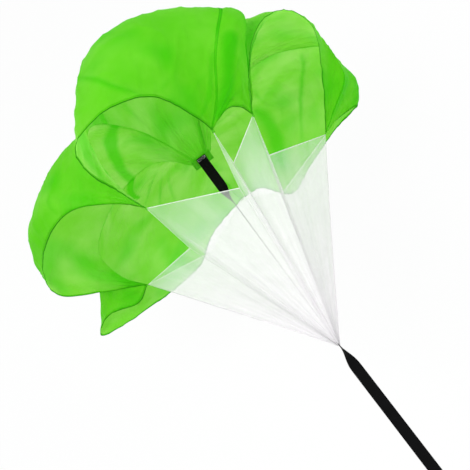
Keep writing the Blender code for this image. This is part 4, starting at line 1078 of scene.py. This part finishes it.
def sewn_box(name, centre, sides, normal, material, body, half=THREAD_HALF):
    """Raised stitches on a flat face: short dashes round a box and along its diagonals."""
    centre = Vector(centre)
    normal = Vector(normal)
    across = Vector((sides[0], 0, 0))
    along = Vector((0, sides[1] * abs(normal.z), sides[1] * abs(normal.y)))
    corners = [centre + across * x + along * y
               for x, y in ((-1, -1), (1, -1), (1, 1), (-1, 1))]
    runs = list(zip(corners, corners[1:] + corners[:1]))
    runs += [(corners[0], corners[2]), (corners[1], corners[3])]
    mesh = bmesh.new()
    for start, end in runs:
        count = max(1, int((end - start).length / THREAD_PITCH))
        step = (end - start) / count
        side = step.normalized().cross(normal) * half
        for i in range(count):
            foot = start + step * (i + 0.12)
            far = start + step * (i + 0.88)
            ring = []
            for share, high in ((0.0, -0.2), (0.25, 0.32), (0.75, 0.32), (1.0, -0.2)):
                middle = foot.lerp(far, share)
                top = normal * high * MM
                ring.append([mesh.verts.new(middle + side * x + top * (1 - 0.5 * abs(x)))
                             for x in (-1, 0, 1)])
            for a, b in zip(ring, ring[1:]):
                mesh.faces.new((a[0], a[1], b[1], b[0]))
                mesh.faces.new((a[1], a[2], b[2], b[1]))
    data = bpy.data.meshes.new(name)
    mesh.to_mesh(data)
    mesh.free()
    placed(name, data, material, body)


def make_tab(name, material):
    """Folded tab of canopy cloth that joins the net's point to the hem."""
    tip = canopy_place(TIP_SHARES[name])
    outward = unit(tip - np.array((0, APEX_Y, 0)))
    radial = unit(tip * np.array((1, 0, 1)))
    sideways = unit(np.cross(outward, radial))
    over = unit(np.cross(sideways, outward))
    path = []
    for share in np.linspace(0, 1, 9):
        place = tip + outward * TAB_LENGTH * (share - 0.45)
        path.append(place + over * (0.9 + 0.5 * sin(share * 9)) * MM)
    widths = [sideways * TAB_WIDTH * (1 - 0.25 * share) for share in np.linspace(0, 1, 9)]
    webbing("tab_" + name, path, widths, LAYER, material, "chute")


# Crown

def crown_cloth(name, place, half, disc, material):
    """Doubled cloth at the crown, sewn round its edge: a square or a disc."""
    centre = crown_centre()
    side = np.linspace(-1, 1, 17)
    x, z = np.meshgrid(side, side)
    fall = np.maximum(np.abs(x), np.abs(z))
    bow = 0.25 * MM * np.sin(x * 9) * np.sin(z * 8)
    if disc:
        shrink = fall / np.maximum(np.hypot(x, z), 1e-9)
        x, z = x * shrink, z * shrink
    points = np.stack([centre[0] + x * half, place + bow, centre[2] + z * half], -1)
    cloth = grid_object(name, points, x * half, z * half, (1 - fall) * half, material, "chute")
    solid = cloth.modifiers.new("thickness", "SOLIDIFY")
    solid.thickness = PATCH_THICKNESS * 0.9
    solid.offset = -1.0
    return cloth


def make_crown(patch_nylon, cap_nylon):
    """The sewn square inside the crown that carries the strap, and the cap outside it."""
    back = CROWN_Y - CLOTH_THICKNESS / 2 - CLEARANCE - PATCH_THICKNESS
    patch = crown_cloth("crown_square", back, PATCH_HALF, False, patch_nylon)
    cap = crown_cloth("crown_cap", CROWN_Y + 2 * CLEARANCE, CROWN_CAP_RADIUS, True, cap_nylon)
    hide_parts("crown_patch")


# The whole

def main():
    bpy.context.scene.view_settings.view_transform = "Standard"
    make_camera()
    make_world()
    make_floor()
    for lamp in LAMPS:
        area_light(*lamp)
    # The third and fourth numbers of each nylon set the width and depth of its painted edge shade
    nylon = make_nylon("canopy nylon", (HEM_WIDTH - 1.5 * MM,), 2.8 * MM, 0.95, passing=0.55)
    seam_nylon = make_nylon("seam nylon", (1.8 * MM, 7.2 * MM), 0.8 * MM, 0.1, passing=0.85,
                            open_share=0.40)
    patch_nylon, cap_nylon = (
        make_nylon(name, (3.0 * MM, 5.0 * MM), 1.0 * MM, 0.1, passing=passing)
        for name, passing in (("patch nylon", 0.60), ("cap nylon", 0.20)))
    tulle = make_tulle("white tulle", cover=0.58)
    tape = make_tulle("white tape", cover=1.24)
    woven = make_webbing_material()
    black_thread = make_thread("black thread", (0.035, 0.035, 0.038))
    grey_thread = make_thread("grey thread", (0.42, 0.42, 0.43))
    for name in TIP_ORDER:
        make_gore(name, nylon, seam_nylon)
    for name in TIP_ORDER:
        make_net(name, tulle, tape)
        make_tab(name, seam_nylon)
    face = make_centre_strap(woven)
    make_tow_strap(woven)
    make_belt(woven)
    keeper_face, foot = make_keeper(woven)
    make_crown(patch_nylon, cap_nylon)
    crown = crown_centre()
    sewn = crown[2] + (STRAP_BEND_RADIUS + STRAP_SEW_LENGTH) / 2
    sewn_box("crown_stitches", (crown[0], face - WEB_THICKNESS / 2, sewn), CROWN_BOX,
             (0, -1, 0), grey_thread, "chute", CROWN_THREAD_HALF)
    layer = (WEB_THICKNESS + CLEARANCE) / 2 + WEB_THICKNESS / 2
    for name, side in (("loop_stitches_top", 1), ("loop_stitches_under", -1)):
        sewn_box(name, (0, EYE_FAR_Y + LOOP_BOX_PLACE, side * layer), LOOP_BOX, (0, 0, side),
                 black_thread, "chute")
    belt_face = FRONT_Y - LAYER_PITCH - BELT_THICKNESS / 2
    sewn_box("belt_stitches", (SOCKET_BAR_X + BELT_BOX_PLACE, belt_face, 0), BELT_BOX,
             (0, -1, 0), black_thread, "belt")
    for name, side in (("keeper_stitches_left", -1), ("keeper_stitches_right", 1)):
        sewn_box(name, (side * (foot + KEEPER_SEW_LENGTH / 2), keeper_face, 0), KEEPER_BOX,
                 (0, 1, 0), black_thread, "belt")
    steel = make_steel()
    plastic = make_plastic()
    for names, material in ((("tow_ring", "hook_body", "hook_gate", "gate_pin", "swivel_pin",
                              "swivel_eye"), steel),
                            (("buckle_socket", "buckle_plug", "belt_glide"), plastic)):
        for name in names:
            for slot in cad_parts[name].material_slots:
                slot.material = material


main()
